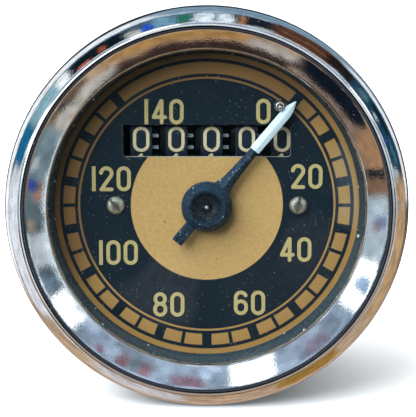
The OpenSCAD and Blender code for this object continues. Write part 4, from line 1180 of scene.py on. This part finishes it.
# %% Rear screws
cheese_outline = [
    (AXIS_GAP, -1.4), (2.1, -1.4), (2.28, -1.33), (2.4, -1.15), (2.4, -0.05),
    (2.35, 0), (1.25, 0), (1.25, 5.0), (AXIS_GAP, 5.0),
]
cheese_head = [(r, CASE_BACK + z) for r, z in cheese_outline]
rear_spots = [(-13.0, 13.0, 60), (13.0, 13.0, 20), (0.0, -19.0, 105)]
rear_saw = (0.6, CASE_BACK - 3, CASE_BACK - 0.7, 3.2)  # width, floor, roof and reach
rear_screws = slotted_screw(
    "frame_screws_slotted", rear_spots, cheese_head, rear_saw, zinc_plate, edge=0.06)
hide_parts("frame_screws")

# %% Lamp holder
LAMP_AT = (-13.79, -13.79)
SLEEVE_R, SLEEVE_BORE, LIP_ROUND = 5.5, 4.9, 0.4
sleeve_section = (
    [(SLEEVE_BORE, CASE_BACK + 4.8), (SLEEVE_R, CASE_BACK + 4.8), (SLEEVE_R, CASE_BACK), (6.7, CASE_BACK)]
    + arc(6.6, CASE_BACK - LIP_ROUND, LIP_ROUND, 60, -90, 6)
    + [(5.9, CASE_BACK - 0.8), (5.62, CASE_BACK - 0.95), (SLEEVE_R, CASE_BACK - 1.3), (SLEEVE_R, -44.6)]
    + [(5.32, -44.8), (5.32, -45.4), (SLEEVE_R, -45.6), (SLEEVE_R, -50.4)]
    + arc(5.1, -50.6, LIP_ROUND, 0, -90, 5)
    + [(4.7, -51.0), (4.6, -50.8), (4.6, -49.0), (SLEEVE_BORE, -48.8)]
)
lamp_sleeve = keep_piece(
    "lamp_sleeve", turned(sleeve_section, 72, LAMP_AT), [zinc_plate], "housing", 34)
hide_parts("lamp_holder")
# Phenolic board, punched: dark brown, a trace of paper fibre, low shine
phenolic = make_finish(
    "phenolic_board_punched", ["2C1A10", "3C2617"], 0.6, (0.4, 0.55), relief_mm=0.004, stretch=(1, 1, 4))
disc_section = [
    (AXIS_GAP, -49.0), (4.62, -49.0), (4.62, -50.7), (4.5, -50.8), (2.2, -50.8),
    (2.05, -50.95), (AXIS_GAP, -50.95),
]
keep_piece("lamp_insulator", turned(disc_section, 60, LAMP_AT), [phenolic], "housing")

# %% Lamp tab
TAB_HALF_W, TAB_HALF_T, TAB_ROUND, TAB_FOOT = 1.5, 0.3, 0.9, -50.9
TAB_HOLE_R, TAB_HOLE_AT, TAB_EDGE = 0.7, 3.3, 0.08
# Brass strip, punched and tinned at the end: warm, satin, slightly tarnished
brass_strip = make_finish(
    "brass_strip_punched", ["8E6D31", "B08D4B"], 0.8, (0.25, 0.42), metallic=1.0, relief_mm=0.004)
tab_outline = (
    [(TAB_HALF_W, 0.0), (TAB_HALF_W, 3.9)]
    + arc(0.6, 4.1, TAB_ROUND, 0, 90, 5)
    + arc(-0.6, 4.1, TAB_ROUND, 90, 180, 5)
    + [(-TAB_HALF_W, 3.9), (-TAB_HALF_W, 0.0)]
)


def on_lamp(u, v, h):
    return LAMP_AT[0] + u, LAMP_AT[1] + h, TAB_FOOT - v


tab_shapes = [(tab_outline, True), (circle(TAB_HOLE_R, 24, 0.0, TAB_HOLE_AT), False)]
tab_skin = ink_sheet(tab_shapes, -TAB_HALF_T, TAB_HALF_T, on_lamp)
tab = keep_piece("lamp_tab", tab_skin, [brass_strip], "housing")
soften(tab, TAB_EDGE)

# %% [markdown]
# ## Finishes for the CAD's own pieces
# Case, dial plate, number wheels and movement keep their CAD shape, because it is right.
# They need finishes, and smooth shading where the CAD has facets. Changing the CAD mesh is
# not allowed here, so a small Geometry Nodes modifier does the shading: all faces smooth,
# edges over thirty degrees sharp.

# %% Shading by angle
SHARP_ANGLE = math.radians(30)
by_angle = bpy.data.node_groups.new("smooth_by_angle", "GeometryNodeTree")
by_angle.interface.new_socket("Geometry", in_out="INPUT", socket_type="NodeSocketGeometry")
by_angle.interface.new_socket("Geometry", in_out="OUTPUT", socket_type="NodeSocketGeometry")
faceted = feed(by_angle, "NodeGroupInput")
all_smooth = feed(by_angle, "GeometryNodeSetShadeSmooth", {"Geometry": faceted}, domain="FACE")
bend = add_node(by_angle, "GeometryNodeInputMeshEdgeAngle").outputs["Unsigned Angle"]
steep = feed(by_angle, "FunctionNodeCompare", {
    0: bend, 1: SHARP_ANGLE}, data_type="FLOAT", operation="GREATER_THAN")
edges_sharp = feed(by_angle, "GeometryNodeSetShadeSmooth", {
    "Geometry": all_smooth, "Selection": steep, "Shade Smooth": False}, domain="EDGE")
add_node(by_angle, "NodeGroupOutput", {0: edges_sharp})
print("shading nodes:", len(by_angle.nodes))

# %% Dial gold
# Lacquered brass, matt: warm gold with a very fine grain, darker and browner towards the rim,
# with painted shade on the upper left, where the bezel shades the dial, and a painted highlight
# in pale grey on the walls of the punched window
gold_lacquer = make_finish(
    "brass_gold_lacquer_matt", ["B5925C", "BF9B64", "C7A46C"], 0.5, (0.45, 0.6), metallic=0.1,
    relief_mm=0.003, dust_mm=2.2, dust_reach=0.2, dust_tone="8A744A")
DARKER_FROM_R, DARKEST_AT_R, DISC_R = 14.0, 24.0, 15.0
# Painted shade: the gold turns dark brown towards clock angle 325, the lamp's side, where the bezel's shadow
# falls
SHADE_SIDE, SHADE_FROM, SHADE_TO = (-0.574, 0, 0.819), -1.0, 6.0  # towards clock angle 325
RIM_DARK_SHARE, PAINTED_SHADE_SHARE, HIGHLIGHT_EDGE = 0.86, 0.6, 0.02
gold_tree, gold_colour, grain_gold = colour_of(gold_lacquer)
flat_place, from_axis = on_dial(gold_tree)
# Darker and browner towards the rim, all round
rim_darkening = feed(gold_tree, "MapRange", {
    "Value": from_axis, "From Min": DARKER_FROM_R * MM, "From Max": DARKEST_AT_R * MM, "To Max": RIM_DARK_SHARE})
darker_rim_gold = feed(gold_tree, "Mix", {
    SHARE: rim_darkening, UNDER: grain_gold, OVER: linear("9A7642")}, data_type="RGBA")
# Painted shade on the upper left of the dial's edge, outside the central disc
towards_shade_side = feed(gold_tree, "VectorMath", {0: flat_place, 1: SHADE_SIDE}, operation="DOT_PRODUCT")
painted_shade_ramp = feed(gold_tree, "MapRange", {
    "Value": towards_shade_side, "From Min": SHADE_FROM * MM, "From Max": SHADE_TO * MM, "To Max": PAINTED_SHADE_SHARE})
off_disc = feed(gold_tree, "Math", {0: from_axis, 1: DISC_R * MM}, operation="GREATER_THAN")
shade_off_disc = feed(gold_tree, "Math", {0: painted_shade_ramp, 1: off_disc}, operation="MULTIPLY")
gold_with_painted_shade = feed(gold_tree, "Mix", {SHARE: shade_off_disc, UNDER: darker_rim_gold, OVER: linear("5E3E28")}, data_type="RGBA")
# Painted highlight: pale grey on the walls of the punched window, for its thin light edges
to_window = feed(gold_tree, "VectorMath", {0: flat_place, 1: (0, 0, WINDOW_Y * MM)}, operation="SUBTRACT")
from_window = feed(gold_tree, "VectorMath", {0: to_window}, operation="ABSOLUTE")
window_part = add_node(gold_tree, "SeparateXYZ", {0: from_window}).outputs
in_width = feed(gold_tree, "Math", {
    0: window_part["X"], 1: (WINDOW_W / 2 + HIGHLIGHT_EDGE) * MM}, operation="LESS_THAN")
in_height = feed(gold_tree, "Math", {
    0: window_part["Z"], 1: (WINDOW_H / 2 + HIGHLIGHT_EDGE) * MM}, operation="LESS_THAN")
painted_edge_highlight = feed(gold_tree, "Math", {0: in_width, 1: in_height}, operation="MULTIPLY")
dial_tone = feed(gold_tree, "Mix", {
    SHARE: painted_edge_highlight, UNDER: gold_with_painted_shade, OVER: linear("A7AAA6")}, data_type="RGBA")
gold_tree.links.new(dial_tone, gold_colour)

# %% Number wheels
# Moulded black rims beside near-black teeth whose tips are painted pale, a painted highlight: the
# tone follows the place along the axle and the distance from it
wheel_black = make_finish(
    "wheel_moulded_black", ["101A24", "1A2836"], 0.5, (0.28, 0.45),
    dust_mm=0.8, dust_reach=0.25, dust_tone="59646B", Specular_IOR_Level=0.4)
RIM_LEFT, RIM_WIDTH, TOOTH_DARK_R, TOOTH_HIGHLIGHT_R = 1.8, 3.63, 6.36, 6.43
WHOLE_PITCHES = 10  # keeps the place along the axle above zero
wheel_tree, wheel_colour, rim_colour = colour_of(wheel_black)
wheel_place = add_node(wheel_tree, "TexCoord").outputs["Object"]
along_axle = add_node(wheel_tree, "SeparateXYZ", {0: wheel_place}).outputs["X"]
from_rim = feed(wheel_tree, "Math", {
    0: along_axle, 1: (WHOLE_PITCHES * DRUM_PITCH + RIM_LEFT - DRUM_MID_X) * MM}, operation="ADD")
in_pitch = feed(wheel_tree, "Math", {0: from_rim, 1: DRUM_PITCH * MM}, operation="FLOORED_MODULO")
beside = feed(wheel_tree, "Math", {0: in_pitch, 1: RIM_WIDTH * MM}, operation="GREATER_THAN")
axle_place = feed(wheel_tree, "VectorMath", {
    0: wheel_place, 1: in_frame(0, DRUM_Y, DRUM_Z)}, operation="SUBTRACT")
across = feed(wheel_tree, "VectorMath", {0: axle_place, 1: (0, 1, 1)}, operation="MULTIPLY")
from_axle = feed(wheel_tree, "VectorMath", {0: across}, operation="LENGTH")
# Painted highlight on the tooth tips: pale at the tips, near black below
tip_highlight = feed(wheel_tree, "MapRange", {
    "Value": from_axle, "From Min": TOOTH_DARK_R * MM, "From Max": TOOTH_HIGHLIGHT_R * MM})
tooth_tone = feed(wheel_tree, "Mix", {
    SHARE: tip_highlight, UNDER: linear("06080A"), OVER: linear("8A969E")}, data_type="RGBA")
wheel_mix = feed(wheel_tree, "Mix", {SHARE: beside, UNDER: rim_colour, OVER: tooth_tone}, data_type="RGBA")
wheel_tree.links.new(wheel_mix, wheel_colour)

# %% Case and movement
# Stove enamel over deep-drawn steel: near black, satin, a fine orange peel, dusty
case_enamel = make_finish(
    "steel_stove_enamel_black", ["111315", "1B1D20"], 1.1, (0.3, 0.42), relief_mm=0.012,
    dust_mm=2.4, dust_reach=0.2, dust_tone="4A4D50")
# Ground steel: bright, with fine marks from the wheel
ground_steel = make_finish(
    "steel_ground_bright", ["B4B7B9", "C8CACB"], 0.2, (0.28, 0.42), metallic=1.0, stretch=(1, 8, 1))
# Moulded rubber: dull black with a powdery bloom
rubber = make_finish("rubber_moulded_black", ["0E0E0E", "1B1B1B"], 0.5, (0.75, 0.9), relief_mm=0.01)
# Die-cast zinc, as cast: grey, slightly mottled by the flow of the metal
cast_zinc = make_finish("zinc_die_cast", ["7F8286", "979A9D"], 1.6, (0.45, 0.6), metallic=1.0, relief_mm=0.01)
# Turned brass: warm, with fine tool marks
turned_brass = make_finish(
    "brass_turned", ["A9833A", "C19B50"], 0.3, (0.2, 0.34), metallic=1.0, stretch=(6, 1, 1))
# Rolled bronze strip: red-brown, drawn grain
rolled_bronze = make_finish(
    "bronze_strip_rolled", ["8E6A34", "A8834A"], 0.2, (0.25, 0.4), metallic=1.0, stretch=(1, 6, 1))
# Sintered bronze: matt and porous, dark with oil
sintered_bronze = make_finish(
    "bronze_sintered", ["5E431F", "86642F"], 0.25, (0.45, 0.65), metallic=1.0, relief_mm=0.01)
# Spun aluminium: pale, with rings from the tool
spun_aluminium = make_finish(
    "aluminium_spun", ["B9BCBE", "CED0D1"], 0.3, (0.25, 0.4), metallic=1.0, stretch=(1, 8, 1))
# Cast magnet alloy, ground: dark, coarse grain
magnet_alloy = make_finish(
    "magnet_alloy_ground", ["2C2D2F", "434548"], 0.7, (0.4, 0.6), metallic=1.0, relief_mm=0.008)
# Blown bulb in a brass cap, milky from use
bulb_glass = make_finish("bulb_glass_blown", ["CFC9B4", "DCD7C6"], 1.2, (0.1, 0.2))

# %% Dress the CAD nodes
FINISH_OF_SLOT = {
    "case_paint": case_enamel, "chrome": chromium_plate, "clear_glass": glass_finish, "black_rubber": rubber,
    "black_lacquer": black_lacquer, "dial_gold": gold_lacquer, "nickel_steel": nickel_plate,
    "cast_zinc": cast_zinc, "brass": turned_brass, "bronze_strip": rolled_bronze,
    "nickel_brass": nickel_brass, "bronze": sintered_bronze, "zinc_steel": zinc_plate,
    "bright_steel": ground_steel, "lamp_glass": bulb_glass, "pointer_black": crinkle_black,
    "aluminium": spun_aluminium, "magnet_iron": magnet_alloy, "wheel_black": wheel_black,
}
for row in frame["record"]["subparts"]:
    node = frame["nodes"][row["node"]]
    node.data.materials.clear()
    node.data.materials.append(FINISH_OF_SLOT[row["material_slot"]])
    node.modifiers.new("shading", "NODES").node_group = by_angle
